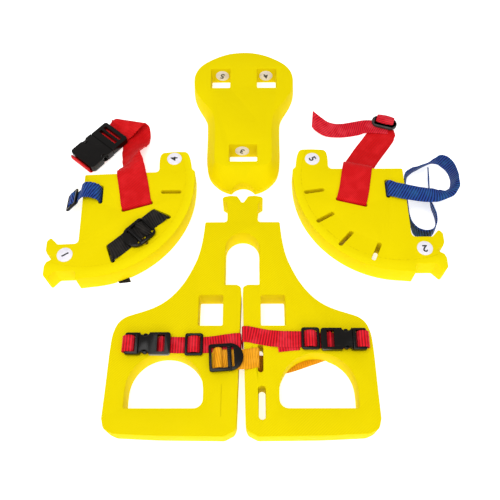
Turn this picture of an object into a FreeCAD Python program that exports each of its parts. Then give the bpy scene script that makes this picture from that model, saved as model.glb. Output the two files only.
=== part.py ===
import FreeCAD, Part
import math
import os

V = FreeCAD.Vector
os.makedirs("parts", exist_ok=True)

# ---------------------------------------------------------------- driving dimensions (mm, degrees)
foam = 38.0              # thickness of every panel
gap = 0.3                # clearance between soft or moving pieces
panel_top = foam

web = 2.0                # thickness of the narrow webbing
belt = 2.5               # thickness of the wide red webbing
thigh_width = 25.0       # width of the red thigh straps
strap_width = 30.0       # width of the blue, black and orange webbing
belt_width = 50.0        # width of the wide red webbing

# the layout is drawn from a datum on the seat panel; the frame's origin is the middle of its neck
neck_centre_y = 72.0

# seat panel
neck_half = 25.0
head_half = 35.0
head_top = 104.0
shoulder_y = 53.0
seat_half = 195.0
seat_front = -287.0
arch_half = 27.0
arch_bottom = -59.0
arch_spring = 6.0
peg_hole_width = 37.2
peg_hole_length = 50.0
peg_hole_x = 47.4
peg_hole_y = -101.0
leg_hole_inner = 54.5
leg_hole_outer = 167.0
leg_hole_front = -249.0
leg_hole_spring = -222.0
leg_hole_top = -168.0
belt_slot_x = 28.0
belt_slot_y = -176.0
belt_slot_width = 8.0
belt_slot_length = 43.0
rear_slot_x = 30.0
rear_slot_width = 10.0
rear_slot_length = 48.0
rear_slot_y = -241.0

# back panel
back_wall = 12.0         # height of the upright wall under the bevel
neck_slot_width = 49.0
neck_slot_length = 36.0
neck_slot_y = 192.0
tab_slot_width = 36.0
tab_slot_length = 47.0
tab_slot_x = 43.0
tab_slot_y = 363.5
notch_half = 20.0
notch_depth = 11.0

# wings, each drawn from its inner top corner
arc_radius = 171.0
arc_centre_x = 17.0
arc_centre_y = -18.0
wing_bottom = -196.0
tab_inner = 128.0
tab_outer = 181.0
tab_top = 41.5
hook_neck_half = 24.0
hook_neck_length = 38.0
hook_y = -157.0
hook_reach = 51.0
hook_head_half = 37.0
slot_width = 7.0
ray_slot_length = strap_width + 4.0       # webbing width and its play
wide_slot_length = belt_width + 3.0
side_slot_length = strap_width + 6.0
right_wing_at = (273.0, 158.0, 0.0)
left_wing_at = (-270.0, 147.0, 2.4)

# number discs
disc_diameter = 25.0
disc_thick = 0.6
left_tab_disc_at = (-118.7, 179.4)
left_hook_disc_at = (-283.0, -6.5)
right_tab_disc_at = (119.5, 178.0)
right_hook_disc_at = (291.0, 3.5)
left_slot_disc_x = -41.0
right_slot_disc_x = 42.0
neck_slot_disc_x = -2.0

# hardware
rim = 4.2                                 # rail of a tri-glide
slack = 0.6                               # play of webbing inside a tri-glide
glide_length = 27.0
glide_width = thigh_width + 2 * rim + slack
glide_thick = 4.0


# ---------------------------------------------------------------- helpers
def export(name, shape):
    shape = shape.copy()
    shape.translate(V(0, -neck_centre_y, 0))
    shape.exportStep("parts/%s.step" % name)


def placed(shape, x, y, z=0.0, turn=0.0):
    shape = shape.copy()
    shape.rotate(V(0, 0, 0), V(0, 0, 1), turn)
    shape.translate(V(x, y, z))
    return shape


def block(x0, x1, y0, y1, z0, z1):
    return Part.makeBox(x1 - x0, y1 - y0, z1 - z0, V(x0, y0, z0))


def rounded_wire(points, z=0.0):
    """Closed outline through (x, y, corner radius); a radius of None is the largest that fits."""
    count = len(points)
    starts = []
    for i in range(count):
        here = V(points[i][0], points[i][1], z)
        before = V(points[i - 1][0], points[i - 1][1], z)
        after = V(points[(i + 1) % count][0], points[(i + 1) % count][1], z)
        back = (before - here)
        ahead = (after - here)
        half_turn = (math.pi - back.getAngle(ahead)) / 2
        reach = 0.49 * min(back.Length, ahead.Length)
        radius = points[i][2]
        if radius is not None:
            reach = min(reach, radius * math.tan(half_turn))
        if reach < 1e-3 or half_turn < 1e-3:
            starts.append((here, here, here))
            continue
        back.normalize()
        ahead.normalize()
        radius = reach / math.tan(half_turn)
        inward = back + ahead
        inward.normalize()
        middle = here + inward * (radius / math.cos(half_turn) - radius)
        starts.append((here + back * reach, middle, here + ahead * reach))
    edges = []
    for i in range(count):
        first, middle, last = starts[i]
        if (first - last).Length > 1e-6:
            edges.append(Part.Arc(first, middle, last).toShape())
        following = starts[(i + 1) % count][0]
        if (following - last).Length > 1e-6:
            edges.append(Part.makeLine(last, following))
    return Part.Wire(edges)


def slab(points, height, z=0.0):
    return Part.Face(rounded_wire(points, z)).extrude(V(0, 0, height))


def round_slot(length, width, z0, z1):
    half = length / 2
    corner = width / 2 - 0.01
    outline = [(-half, -width / 2, corner), (half, -width / 2, corner),
               (half, width / 2, corner), (-half, width / 2, corner)]
    return slab(outline, z1 - z0, z0)


def smooth_value(a, b, c, d, t):
    return 0.5 * (2 * b + (c - a) * t + (2 * a - 5 * b + 4 * c - d) * t ** 2
                  + (3 * b - a - 3 * c + d) * t ** 3)


def smooth_stations(stations, steps):
    """Catmull-Rom curve through stations of six values: a centre and the direction across."""
    dense = []
    last = len(stations) - 1
    for i in range(last):
        around = [stations[max(i - 1, 0)], stations[i], stations[i + 1], stations[min(i + 2, last)]]
        for step in range(steps):
            t = step / steps
            dense.append([smooth_value(*[s[k] for s in around], t) for k in range(6)])
    dense.append(list(stations[-1]))
    return dense


def facets(a, b, c, d):
    normal = (b - a).cross(c - a)
    normal.normalize()
    if abs((d - a).dot(normal)) < 1e-8:
        return [Part.Face(Part.makePolygon([a, b, c, d, a]))]
    return [Part.Face(Part.makePolygon([a, b, c, a])), Part.Face(Part.makePolygon([a, c, d, a]))]


def ribbon(stations, width, thick, steps=1):
    """Closed strip of webbing along stations (x, y, z, and the direction across it)."""
    dense = smooth_stations(stations, steps)
    rings = []
    for i, station in enumerate(dense):
        centre = V(*station[:3])
        across = V(*station[3:])
        ahead = V(*dense[min(i + 1, len(dense) - 1)][:3]) - V(*dense[max(i - 1, 0)][:3])
        ahead.normalize()
        across = across - ahead * across.dot(ahead)
        across.normalize()
        normal = ahead.cross(across)
        side = across * (width / 2)
        up = normal * (thick / 2)
        rings.append([centre - side - up, centre + side - up, centre + side + up, centre - side + up])
    faces = facets(*rings[0]) + facets(*reversed(rings[-1]))
    for near, far in zip(rings, rings[1:]):
        for k in range(4):
            nxt = (k + 1) % 4
            faces += facets(near[k], far[k], far[nxt], near[nxt])
    shell = Part.makeShell(faces)
    shell.sewShape()
    solid = Part.makeSolid(shell)
    if solid.Volume < 0:
        solid.reverse()
    return solid


def profile_strip(path, width, thick, steps=1):
    """Strip whose path (x, z) lies in one upright plane, centred on y = 0."""
    return ribbon([(x, 0.0, z, 0.0, 1.0, 0.0) for x, z in path], width, thick, steps)


# ---------------------------------------------------------------- seat panel
def seat_outline():
    flank = [(61, shoulder_y, 3), (62.5, 30, None), (66, 5, None), (71, -15, None), (78, -32, None),
             (87.5, -52, None), (99.5, -69.5, None), (112.5, -83.5, None), (127, -93.8, None),
             (143, -101, None), (160, -106.5, None), (176.5, -112, None), (187, -121.5, None),
             (193, -139, None), (194.5, -165, None)]
    head = [(0, 88, 3), (6, 98, 2.5), (9, head_top - 1, 4), (20, head_top, 8),
            (head_half - 4, head_top - 2, 5), (head_half, 97, 3), (neck_half + 1.5, 91, 3),
            (neck_half, 80, None), (neck_half, shoulder_y, 5)]
    leg = [(seat_half, -220, None), (seat_half + 1, seat_front + 24, 4),
           (seat_half - 3, seat_front + 9, 12), (178, seat_front + 3, 16), (120, seat_front, None),
           (24, seat_front - 1, 9), (10, seat_front + 6, 9), (slit_edge(-274), -274, None)]
    arch_steps = 8
    arch = [(slit_edge(-78), -78, None), (1.5, -63, 5), (8, arch_bottom, 2),
            (arch_half, arch_bottom, 2), (arch_half, arch_spring, None)]
    for i in range(1, arch_steps):
        turn = math.pi / 2 * i / arch_steps
        arch.append((arch_half * math.cos(turn), arch_spring + arch_half * math.sin(turn), None))
    arch.append((0, arch_spring + arch_half, None))
    return head + flank + leg + arch


def slit_edge(y):
    """Half width of the slit between the legs: it opens slowly towards the front."""
    return 1.0 + 5.6 * (-70.0 - y) / 210.0


def leg_hole():
    middle = (leg_hole_inner + leg_hole_outer) / 2
    half = (leg_hole_outer - leg_hole_inner) / 2
    rise = leg_hole_top - leg_hole_spring
    points = [(leg_hole_outer, leg_hole_front, 3), (leg_hole_inner, leg_hole_front, 13)]
    steps = 12
    for i in range(steps + 1):
        turn = math.pi * (1 - i / steps)
        points.append((middle + half * math.cos(turn), leg_hole_spring + rise * math.sin(turn), None))
    return slab(points, foam + 2, -1)


def peg_hole():
    corner = 2.5
    half_w = peg_hole_width / 2
    half_l = peg_hole_length / 2
    outline = [(-half_w, -half_l, corner), (half_w, -half_l, corner),
               (half_w, half_l, corner), (-half_w, half_l, corner)]
    return placed(slab(outline, foam + 2, -1), peg_hole_x, peg_hole_y)


def seat_panel():
    right = seat_outline()
    upper = right[1:]
    mirrored = [(-x, y, r) for x, y, r in reversed(upper[:-1])]
    panel = slab([right[0]] + upper + mirrored, foam)
    holes = [leg_hole(), peg_hole()]
    for hole in holes:
        panel = panel.cut(hole)
        panel = panel.cut(hole.mirror(V(0, 0, 0), V(1, 0, 0)))
    belt_slot = round_slot(belt_slot_length, belt_slot_width, -1, foam + 1)
    panel = panel.cut(placed(belt_slot, belt_slot_x, belt_slot_y, 0, 90))
    rear_slot = round_slot(rear_slot_length, rear_slot_width, -1, foam + 1)
    panel = panel.cut(placed(rear_slot, rear_slot_x, rear_slot_y, 0, 90))
    return panel.cut(orange_groove())


# ---------------------------------------------------------------- back panel
# each entry: top flat edge x, y, then the foot of the bevel x, y
back_profile = [(0, 428, 0, 428), (22, 426, 22.5, 426.2), (40, 420.5, 41, 421), (60, 410, 61, 411.5),
                (78, 396, 79.5, 398), (87, 383, 89, 385), (91.5, 368, 93, 369),
                (91.5, 350, 93.5, 351), (87, 331, 89.5, 333), (77, 313, 82, 315),
                (66, 298, 74, 300), (57, 285, 68, 286), (52, 268, 65.7, 268), (50, 240, 65, 240),
                (50, 210, 65, 210), (50, 190, 64.5, 190), (49, 178, 62.5, 173), (44, 170, 57.5, 158),
                (35, 166, 49, 146.5), (24, 164.5, 37, 136.5), (12, 164, 21, 129.5), (0, 164, 0, 127)]


def closed_curve(points, z):
    curve = Part.BSplineCurve()
    curve.interpolate([V(x, y, z) for x, y in points], PeriodicFlag=True)
    return Part.Wire([curve.toShape()])


def back_panel():
    top = [(x, y) for x, y, _, _ in back_profile]
    foot = [(x, y) for _, _, x, y in back_profile]
    top += [(-x, y) for x, y in reversed(top[1:-1])]
    foot += [(-x, y) for x, y in reversed(foot[1:-1])]
    lower = Part.Face(closed_curve(foot, 0)).extrude(V(0, 0, back_wall))
    upper = Part.makeLoft([closed_curve(foot, back_wall), closed_curve(top, panel_top)], True, True)
    panel = lower.fuse(upper)
    tip_y = 129.5
    radius = (notch_half ** 2 + notch_depth ** 2) / (2 * notch_depth)
    notch = Part.makeCylinder(radius, foam + 2, V(0, tip_y + notch_depth - radius, -1))
    panel = panel.cut(notch)
    panel = panel.cut(slot_box(0, neck_slot_y, neck_slot_width, neck_slot_length))
    for x in (-tab_slot_x, tab_slot_x):
        panel = panel.cut(slot_box(x, tab_slot_y, tab_slot_width, tab_slot_length))
    return panel


def slot_box(x, y, width, length):
    half_w = width / 2
    half_l = length / 2
    outline = [(-half_w, -half_l, 2), (half_w, -half_l, 2), (half_w, half_l, 2), (-half_w, half_l, 2)]
    return placed(slab(outline, foam + 2, -1), x, y)


def wall_disc(x, slot_y, slot_length):
    wall_y = slot_y + slot_length / 2
    disc = Part.makeCylinder(disc_diameter / 2, disc_thick, V(0, 0, 0), V(0, -1, 0))
    return placed(disc, x, wall_y, foam / 2)


# ---------------------------------------------------------------- wings
def wing_outline():
    arc = []
    steps = 9
    start = math.radians(-3)
    stop = math.radians(-92)
    for i in range(steps + 1):
        turn = start + (stop - start) * i / steps
        arc.append((arc_centre_x + arc_radius * math.cos(turn),
                    arc_centre_y + (arc_radius + 6 * i / steps) * math.sin(turn), None))
    top = [(0, 0, 3), (tab_inner - 1, 0, 7), (tab_inner - 1.5, 22, None), (tab_inner, 34, None),
           (tab_inner + 4, tab_top - 1.5, 8), (155, tab_top, None), (tab_outer - 6, tab_top - 1, 9),
           (tab_outer, 24, None), (tab_outer + 1, 5, 2.5), (tab_outer + 7, -1, 5)]
    neck_top = hook_y + hook_neck_half
    neck_low = hook_y - hook_neck_half
    tip_top = hook_y + hook_head_half
    tip_low = hook_y - hook_head_half
    hook = [(0, wing_bottom, 2), (0, neck_low, 6), (-hook_neck_length + 5, neck_low, 4),
            (-45, tip_low, 3), (-hook_reach, tip_low + 7, 5), (-hook_reach, hook_y - 14, 8),
            (-hook_reach + 3, hook_y - 7, 4), (-35.5, hook_y, 3), (-hook_reach + 3, hook_y + 7, 4),
            (-hook_reach, hook_y + 14, 8), (-hook_reach, tip_top - 7, 5), (-45, tip_top, 3),
            (-hook_neck_length + 5, neck_top, 4), (0, neck_top, 7)]
    return top + arc + hook


# (middle x, middle y, direction) of the strap slots in each wing's own plane, drawn as a right wing
right_rays = [(153.0, -45.0, 9.0), (137.0, -96.0, 30.0), (106.0, -135.5, 48.0), (59.0, -159.5, 66.0)]
left_rays = [(148.0, -41.0, 2.4), (132.6, -83.6, 28.0), (101.0, -126.0, 49.0), (53.6, -153.4, 71.8)]
wide_slot = (92.0, -67.0, -15.0)
side_slot = (30.0, -41.0, 90.0)


def wing_blank(ray_slots):
    """Right wing, seen from above, with its inner top corner at the origin; x runs to the hook."""
    outline = [(-x, y, r) for x, y, r in wing_outline()]
    panel = slab(outline, foam)
    for x, y, turn in ray_slots:
        cutter = round_slot(ray_slot_length, slot_width, -1, foam + 1)
        panel = panel.cut(placed(cutter, -x, y, 0, turn))
    x, y, turn = wide_slot
    panel = panel.cut(placed(round_slot(wide_slot_length, slot_width, -1, foam + 1), -x, y, 0, turn))
    x, y, turn = side_slot
    return panel.cut(placed(round_slot(side_slot_length, slot_width, -1, foam + 1), -x, y, 0, turn))


def right_wing():
    x, y, turn = right_wing_at
    return placed(wing_blank(right_rays), x, y, 0, turn)


def left_wing():
    x, y, turn = left_wing_at
    panel = placed(wing_blank(left_rays).mirror(V(0, 0, 0), V(1, 0, 0)), x, y, 0, turn)
    return panel.cut(tail_groove())


def top_disc(x, y):
    return placed(Part.makeCylinder(disc_diameter / 2, disc_thick), x, y, panel_top)


# ---------------------------------------------------------------- hardware, drawn flat and centred
def frame_plate(length, width, thick, corner, edge):
    half_l = length / 2
    half_w = width / 2
    outer = [(-half_l, -half_w, corner), (half_l, -half_w, corner),
             (half_l, half_w, corner), (-half_l, half_w, corner)]
    inner = [(x - math.copysign(edge, x), y - math.copysign(edge, y), 1.5) for x, y, _ in outer]
    return slab(outer, thick).cut(slab(inner, thick + 2, -1))


def tri_glide(width):
    plate = frame_plate(glide_length, width, glide_thick, 4, rim)
    bar = block(-2.4, 2.4, -width / 2 + 1, width / 2 - 1, 0.3, 2.9)
    return plate.fuse(bar).removeSplitter()


def saddle(half_span, height, width, thick=web):
    """Webbing bent over a centre bar."""
    path = [(-half_span, 1.0), (-half_span * 0.8, height * 0.62), (-half_span * 0.45, height * 0.95),
            (0, height), (half_span * 0.45, height * 0.95), (half_span * 0.8, height * 0.62),
            (half_span, 1.0)]
    return profile_strip(path, width, thick)


def socket(width, length, thick, cover=0.0):
    """Female half of a side-release buckle: mouth at x = 0, strap bar towards +x; cover is the
    thickness left over the strap window."""
    half = width / 2
    wall = 0.17 * thick
    outline = [(0, -half + 1.5, 2), (0.3 * length, -half, None), (length, -half, 4),
               (length, half, 4), (0.3 * length, half, None), (0, half - 1.5, 2)]
    body = slab(outline, thick)
    body = body.cut(block(-1, 0.52 * length, -half + 2, half - 2, wall, thick - wall))
    for side in (-1, 1):
        ear = block(-1, 0.3 * length, 0.28 * width, half + 1, -1, thick + 1)
        if side < 0:
            ear = ear.mirror(V(0, 0, 0), V(0, 1, 0))
        body = body.cut(ear)
    window_top = thick - cover if cover else thick + 1
    window = block(0.58 * length, 0.82 * length, -half + 3.6, half - 3.6, -1, window_top)
    return body.cut(window)


def tongue(width, length, reach, thick, bars=1, bar_low=0.3, bar_high=0.7):
    """Male half: strap frame towards -x, two sprung arms and a guide inside the socket."""
    half = width / 2
    wall = 0.17 * thick
    room = 0.35
    z0 = wall + room
    z1 = thick - wall - room
    body = slab([(-length, -half, 4), (-0.6, -half, 2), (-0.6, half, 2), (-length, half, 4)], thick)
    bar = 0.26 * length / bars
    slot = (0.72 * length - 5) / bars - (bars - 1) * bar / bars
    for i in range(bars):
        start = -length + bar + i * (bar + slot)
        body = body.cut(block(start, start + slot, -half + 3.6, half - 3.6, -1, thick + 1))
    recess_end = -length + bars * (slot + bar)
    body = body.cut(block(-length - 1, recess_end, -half + 3.6, half - 3.6, -1, bar_low * thick))
    body = body.cut(block(-length - 1, recess_end, -half + 3.6, half - 3.6, bar_high * thick, thick + 1))
    guide = block(-2, 0.85 * reach, -0.1 * width, 0.1 * width, z0, z1)
    arm = [(-2, 0.3 * width, 0), (0.35 * reach, 0.29 * width, None), (reach, 0.24 * width, 2),
           (reach, 0.36 * width, 3), (0.62 * reach, half - 2.6, None), (0.3 * reach, half - 2.4, None),
           (-2, 0.42 * width, 0)]
    right_arm = slab(arm, z1 - z0, z0)
    left_arm = right_arm.mirror(V(0, 0, 0), V(0, 1, 0))
    return body.fuse([guide, right_arm, left_arm]).removeSplitter()


def ladder_lock(length, width, thick):
    """Frame with two crossbars and a rounded lifting tongue towards +x, middle of the frame at 0."""
    half_l = length / 2
    half_w = width / 2
    outline = [(-half_l, -half_w, 4), (half_l * 0.45, -half_w, None), (half_l * 0.85, -half_w * 0.62, None),
               (half_l, 0, None), (half_l * 0.85, half_w * 0.62, None), (half_l * 0.45, half_w, None),
               (-half_l, half_w, 4)]
    plate = slab(outline, thick)
    inner = half_w - 4.7
    plate = plate.cut(block(-half_l + 3.4, 0.04 * length, -inner, inner, -1, thick + 1))
    plate = plate.cut(block(0.16 * length, 0.23 * length, -inner, inner, -1, thick + 1))
    bar_x = -half_l + 0.27 * length
    bar = block(bar_x - 2.3, bar_x + 2.3, -half_w + 1, half_w - 1, 0.3, 3.1)
    return plate.fuse(bar).removeSplitter()


def oval_lock(length, width, thick):
    """Oval ladder lock of the wide belt."""
    outer = round_slot(length, width, 0, thick)
    inner = block(-length / 2 + 6.5, length / 2 - 6.5, -width / 2 + 4, width / 2 - 4, -1, thick + 1)
    bar = block(-length / 2 + 3, length / 2 - 3, -1.8, 1.8, 0.5, thick - 2)
    return outer.cut(inner).fuse(bar).removeSplitter()


# ---------------------------------------------------------------- thigh straps on the seat legs
lie = panel_top + gap + web / 2              # middle of a strap lying on a panel
second = lie + web + gap                     # middle of a strap lying on another strap
on_strap = panel_top + 2 * gap + web         # underside of hardware lying on one strap
on_two = on_strap + web + gap                # underside of hardware lying on two straps
buckle_width = thigh_width + 8.0            # webbing and the cheeks beside it
buckle_thick = 9.0
socket_length = 46.0
tongue_length = 21.0
prong_reach = 21.0

left_slit_y = -151.0
left_chain_y = -157.0
left_mouth_x = -150.0
left_glide_x = -70.0
right_slit_y = -140.0
right_chain_y = -150.5
right_mouth_x = 162.5
right_glide_x = 101.5
right_glide_y = -149.0
tail_start_x = 53.0


def over_edge(edge_x, side, y):
    """Stations that carry a strap up out of a slot whose edge is at edge_x and over it."""
    rise = [(1.35, -34.0), (1.35, -1.4), (1.1, 0.7), (-0.3, 1.95), (-3.0, 1.6), (-6.0, 1.3)]
    return [(edge_x - side * out, y, panel_top + up, 0, 1, 0) for out, up in rise]


def left_thigh_strap():
    end = left_mouth_x + socket_length
    window = end - 0.3 * socket_length
    run = over_edge(-slit_edge(left_slit_y) + 0.25, -1, left_slit_y)
    run += [(-20, -152.5, lie, 0, 1, 0), (-45, -156.2, lie, 0, 1, 0), (-58, left_chain_y, lie, 0, 1, 0),
            (end + 2, left_chain_y, lie, 0, 1, 0), (window + 4.6, left_chain_y, lie, 0, 1, 0),
            (window + 2.6, left_chain_y, lie + 3.2, 0, 1, 0), (window, left_chain_y, lie + 5.4, 0, 1, 0),
            (window - 2.6, left_chain_y, lie + 3.2, 0, 1, 0), (window - 4.6, left_chain_y, lie, 0, 1, 0),
            (window - 8.0, left_chain_y, lie, 0, 1, 0)]
    return ribbon(run, thigh_width, web)


def right_thigh_strap():
    end = right_mouth_x - socket_length
    window = end + 0.3 * socket_length
    run = over_edge(slit_edge(-128.0) - 0.05, 1, right_slit_y)
    run += [(24, -143.2, lie, 0, 1, 0), (42, -145.6, lie, 0, 1, 0), (50, -146.6, second, 0, 1, 0),
            (86, right_glide_y, second, 0, 1, 0), (108, -149.8, second, 0, 1, 0),
            (end - 1.5, right_chain_y, lie + 0.1, 0, 1, 0), (window - 4.6, right_chain_y, lie, 0, 1, 0),
            (window - 2.6, right_chain_y, lie + 3.2, 0, 1, 0),
            (window, right_chain_y, lie + 5.4, 0, 1, 0),
            (window + 2.6, right_chain_y, lie + 3.2, 0, 1, 0),
            (window + 4.6, right_chain_y, lie, 0, 1, 0), (window + 8.0, right_chain_y, lie, 0, 1, 0)]
    return ribbon(run, thigh_width, web)


def tongue_webbing(mouth_x, side, y):
    """Webbing doubled round the end bar of a tongue, its tail flat under the buckle."""
    far = mouth_x + side * tongue_length
    path = [(mouth_x - side * 22, lie), (far - side * 3, lie), (far + side * 1.2, lie + 0.6),
            (far + side * 3.2, lie + 3.0), (far + side * 3.2, lie + 6.5), (far + side * 1.0, lie + 9.0),
            (far - side * 4.5, lie + 10.5), (far - side * 9.2, lie + 9.8), (far - side * 12.2, lie + 7.6),
            (far - side * 12.8, lie + 4.6)]
    return ribbon([(x, y, z, 0, 1, 0) for x, z in path], thigh_width, web)


def strap_tail():
    return ribbon([(tail_start_x, -155.8, lie, 0.1, 1, 0), (85, -152.6, lie, 0.1, 1, 0)],
                  thigh_width, web)


# ---------------------------------------------------------------- orange strap and its ladder lock
lock_x = -22.0
lock_y = -177.5
lock_turn = 4.0
lock_length = 50.0
lock_width = strap_width + 11.0
lock_thick = 5.0
orange_floor = [(148, -146), (100, -163), (64, -174.5), (40, -176.5)]


def orange_strap():
    floor = gap + web / 2
    run = [(x, y, floor, -0.33, 0.94, 0) for x, y in orange_floor]
    edge = belt_slot_x - belt_slot_width / 2
    run += [(edge + 3.6, belt_slot_y, floor + 0.3, -0.05, 1, 0),
            (edge + 1.5, belt_slot_y, floor + 2.6, 0, 1, 0),
            (edge + 1.35, belt_slot_y, panel_top - 1.4, 0, 1, 0),
            (edge + 1.1, belt_slot_y, panel_top + 0.7, 0, 1, 0),
            (edge - 0.3, belt_slot_y, panel_top + 1.95, 0, 1, 0),
            (edge - 4, belt_slot_y, lie + 0.4, 0, 1, 0), (12, -178, lie + 0.8, 0, 1, 0),
            (3, -179.4, second, 0, 1, 0), (-42, -179.6, second, 0.05, 1, 0)]
    return ribbon(run, strap_width, web)


def orange_groove():
    """Channel that the webbing presses into the underside of the leg."""
    depth = web + 3 * gap
    half = strap_width / 2 + gap + 2.0
    cutter = None
    route = orange_floor + [(belt_slot_x, belt_slot_y)]
    route[0] = (152, -144.6)
    for (x0, y0), (x1, y1) in zip(route, route[1:]):
        run = math.hypot(x1 - x0, y1 - y0)
        turn = math.degrees(math.atan2(y1 - y0, x1 - x0))
        piece = placed(block(-2, run + 2, -half, half, -1, depth), x0, y0, 0, turn)
        cutter = piece if cutter is None else cutter.fuse(piece)
    return cutter


def orange_saddle():
    bar_x = lock_length * (0.27 - 0.5)
    return placed(saddle(5.3, 5.4, strap_width), lock_x, lock_y, on_two, lock_turn).translated(
        V(bar_x * math.cos(math.radians(lock_turn)), bar_x * math.sin(math.radians(lock_turn)), 0))


# ---------------------------------------------------------------- left wing straps
belt_lie = panel_top + gap + belt / 2
belt_floor = gap + belt / 2
big_buckle_at = (-256.2, 232.2)
big_buckle_turn = 230.0
big_width = belt_width + 8.0
big_thick = 14.0
big_socket = 50.0
big_tongue = 38.0
big_reach = 24.0
big_cover = 3.0
big_z = 2 * gap + belt


def left_belt():
    run = [(-175.4, 84.2, 5, 0.954, 0.3, 0), (-175.4, 84.2, panel_top - 1.5, 0.954, 0.3, 0),
           (-175.8, 85.6, panel_top + 1.9, 0.954, 0.3, 0), (-177.5, 90, panel_top + 2.4, 0.96, 0.28, 0),
           (-181.5, 110, belt_lie, 0.97, 0.25, 0), (-186.5, 133, belt_lie, 0.97, 0.23, 0),
           (-190.5, 150, belt_lie + 0.5, 0.97, 0.2, 0),
           (-192, 158, panel_top + 1.4, 0.96, 0.18, 0.06), (-193.5, 168, panel_top - 1, 0.9, 0.14, 0.36),
           (-195, 184, panel_top - 7.5, 0.66, 0.08, 0.74),
           (-195.8, 203, 20.5, 0.8, 0.05, 0.58), (-196, 222, 9.5, 0.95, 0.03, 0.3),
           (-195.5, 238, 3, 0.99, 0.03, 0.08), (-196, 254, belt_floor, 1, 0, 0),
           (-198, 267, belt_floor + 0.6, 1, -0.03, 0), (-201, 278.5, 5.5, 0.99, -0.12, 0),
           (-204, 283, 11.5, 0.98, -0.18, 0), (-208, 281, 16.8, 0.97, -0.24, 0),
           (-213.5, 276, 17.6, 0.94, -0.34, 0), (-220, 270, 14.8, 0.87, -0.5, 0),
           (-228.6, 264.2, 8.2, 0.78, -0.62, 0), (-233.5, 259, 6.2, 0.766, -0.643, 0),
           (-241, 250.2, 6, 0.766, -0.643, 0), (-248.4, 241.5, 6, 0.766, -0.643, 0)]
    return ribbon(run, belt_width, belt, 2)


def socket_webbing():
    """Wide webbing round the end bar of the big socket, its tail flat on the floor."""
    z = gap + belt / 2
    far = big_socket
    path = [(far * 0.2, z), (far + 0.5, z), (far + 2.6, z + 1.2), (far + 3.8, z + 4.2),
            (far + 3.6, z + 8.5), (far + 2.4, z + 11.5)]
    strip = profile_strip(path, big_width - 9, belt)
    return placed(strip, big_buckle_at[0], big_buckle_at[1], 0, big_buckle_turn)


blue_run = [(-239.4, 107.8, 5, 0, 1, 0), (-239.4, 107.8, panel_top - 1.2, 0, 1, 0),
            (-241.0, 108.2, panel_top + 3.4, 0, 1, 0), (-246, 109.4, panel_top + 7.5, 0, 1, 0),
            (-255, 111, panel_top + 10, 0, 1, 0), (-265, 111, panel_top + 9, 0.05, 1, 0),
            (-272.5, 109.8, panel_top + 3.5, 0.12, 0.98, 0.02),
            (-274.6, 109.3, panel_top - 2.5, 0.2, 0.97, 0.03),
            (-276.6, 108.8, panel_top - 7, 0.25, 0.96, 0.05),
            (-287.5, 105.2, panel_top - 17, 0.25, 0.96, 0.05),
            (-296.5, 102.2, panel_top - 25.6, 0.25, 0.96, 0.05)]


def left_blue_strap():
    return ribbon(blue_run, strap_width, web, 2)


def on_blue(shape):
    """Carries a flat-drawn piece onto the outer face of the hanging end of the blue strap."""
    first = V(*blue_run[-3][:3])
    last = V(*blue_run[-1][:3])
    ahead = last - first
    ahead.normalize()
    across = V(*blue_run[-2][3:])
    across = across - ahead * across.dot(ahead)
    across.normalize()
    outward = ahead.cross(across)
    if outward.x > 0:
        outward = outward * -1
        across = across * -1
    middle = V(*blue_run[-2][:3]) + outward * (web / 2 + 2 * gap)
    matrix = FreeCAD.Matrix(ahead.x, across.x, outward.x, middle.x,
                            ahead.y, across.y, outward.y, middle.y,
                            ahead.z, across.z, outward.z, middle.z, 0, 0, 0, 1)
    shape = shape.copy()
    shape.transformShape(matrix)
    return shape


def left_ray(index):
    """Middle and direction, in the layout, of a strap slot in the left wing."""
    x, y, turn = left_rays[index]
    corner_x, corner_y, lean = left_wing_at
    lean = math.radians(lean)
    across = math.pi + lean - math.radians(turn)
    return (corner_x + x * math.cos(lean) - y * math.sin(lean),
            corner_y + x * math.sin(lean) + y * math.cos(lean), -math.cos(across), -math.sin(across))


def left_black_strap():
    x0, y0, a0, b0 = left_ray(3)
    x1, y1, a1, b1 = left_ray(1)
    run = [(x0, y0, 3.2, a0, b0, 0), (x0, y0, panel_top - 1.4, a0, b0, 0),
           (x0 + 0.9, y0 + 0.5, panel_top + 1.2, a0, b0, 0),
           (x0 + 4, y0 + 3, lie + 1.0, a0 + 0.12, b0 + 0.06, 0),
           (x0 + 12, y0 + 11, lie, 0.64, -0.77, 0), ((x0 + x1) / 2, (y0 + y1) / 2, lie, 0.7, -0.71, 0),
           (x1 - 14, y1 - 12, lie, 0.8, -0.6, 0), (x1 - 3.8, y1 - 4.2, lie + 1.0, 0.88, -0.48, 0),
           (x1 - 0.5, y1 - 0.9, panel_top + 1.2, a1, b1, 0), (x1, y1, panel_top - 1.4, a1, b1, 0),
           (x1, y1, 8, a1, b1, 0)]
    return ribbon(run, strap_width, web, 2)


tail_route = [(-209, 0), (-189, -42)]
tail_width = 20.0


def black_tail():
    (x0, y0), (x1, y1) = tail_route
    z = gap + web / 2
    return ribbon([(x0, y0, z, 0.9, 0.4, 0), (x1, y1, z, 0.9, 0.4, 0)], tail_width, web)


def tail_groove():
    (x0, y0), (x1, y1) = tail_route
    run = math.hypot(x1 - x0, y1 - y0)
    turn = math.degrees(math.atan2(y1 - y0, x1 - x0))
    half = tail_width / 2 + gap + 0.6
    return placed(block(-1, run + 12, -half, half, -1, web + 2 * gap), x0, y0, 0, turn)


black_lock_at = (-168.5, 28.5)
black_lock_turn = 226.0


def black_saddle():
    bar_x = lock_length * (0.27 - 0.5)
    lift = on_strap
    turn = math.radians(black_lock_turn)
    return placed(saddle(5.3, 5.4, strap_width), black_lock_at[0] + bar_x * math.cos(turn),
                  black_lock_at[1] + bar_x * math.sin(turn), lift, black_lock_turn)


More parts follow.
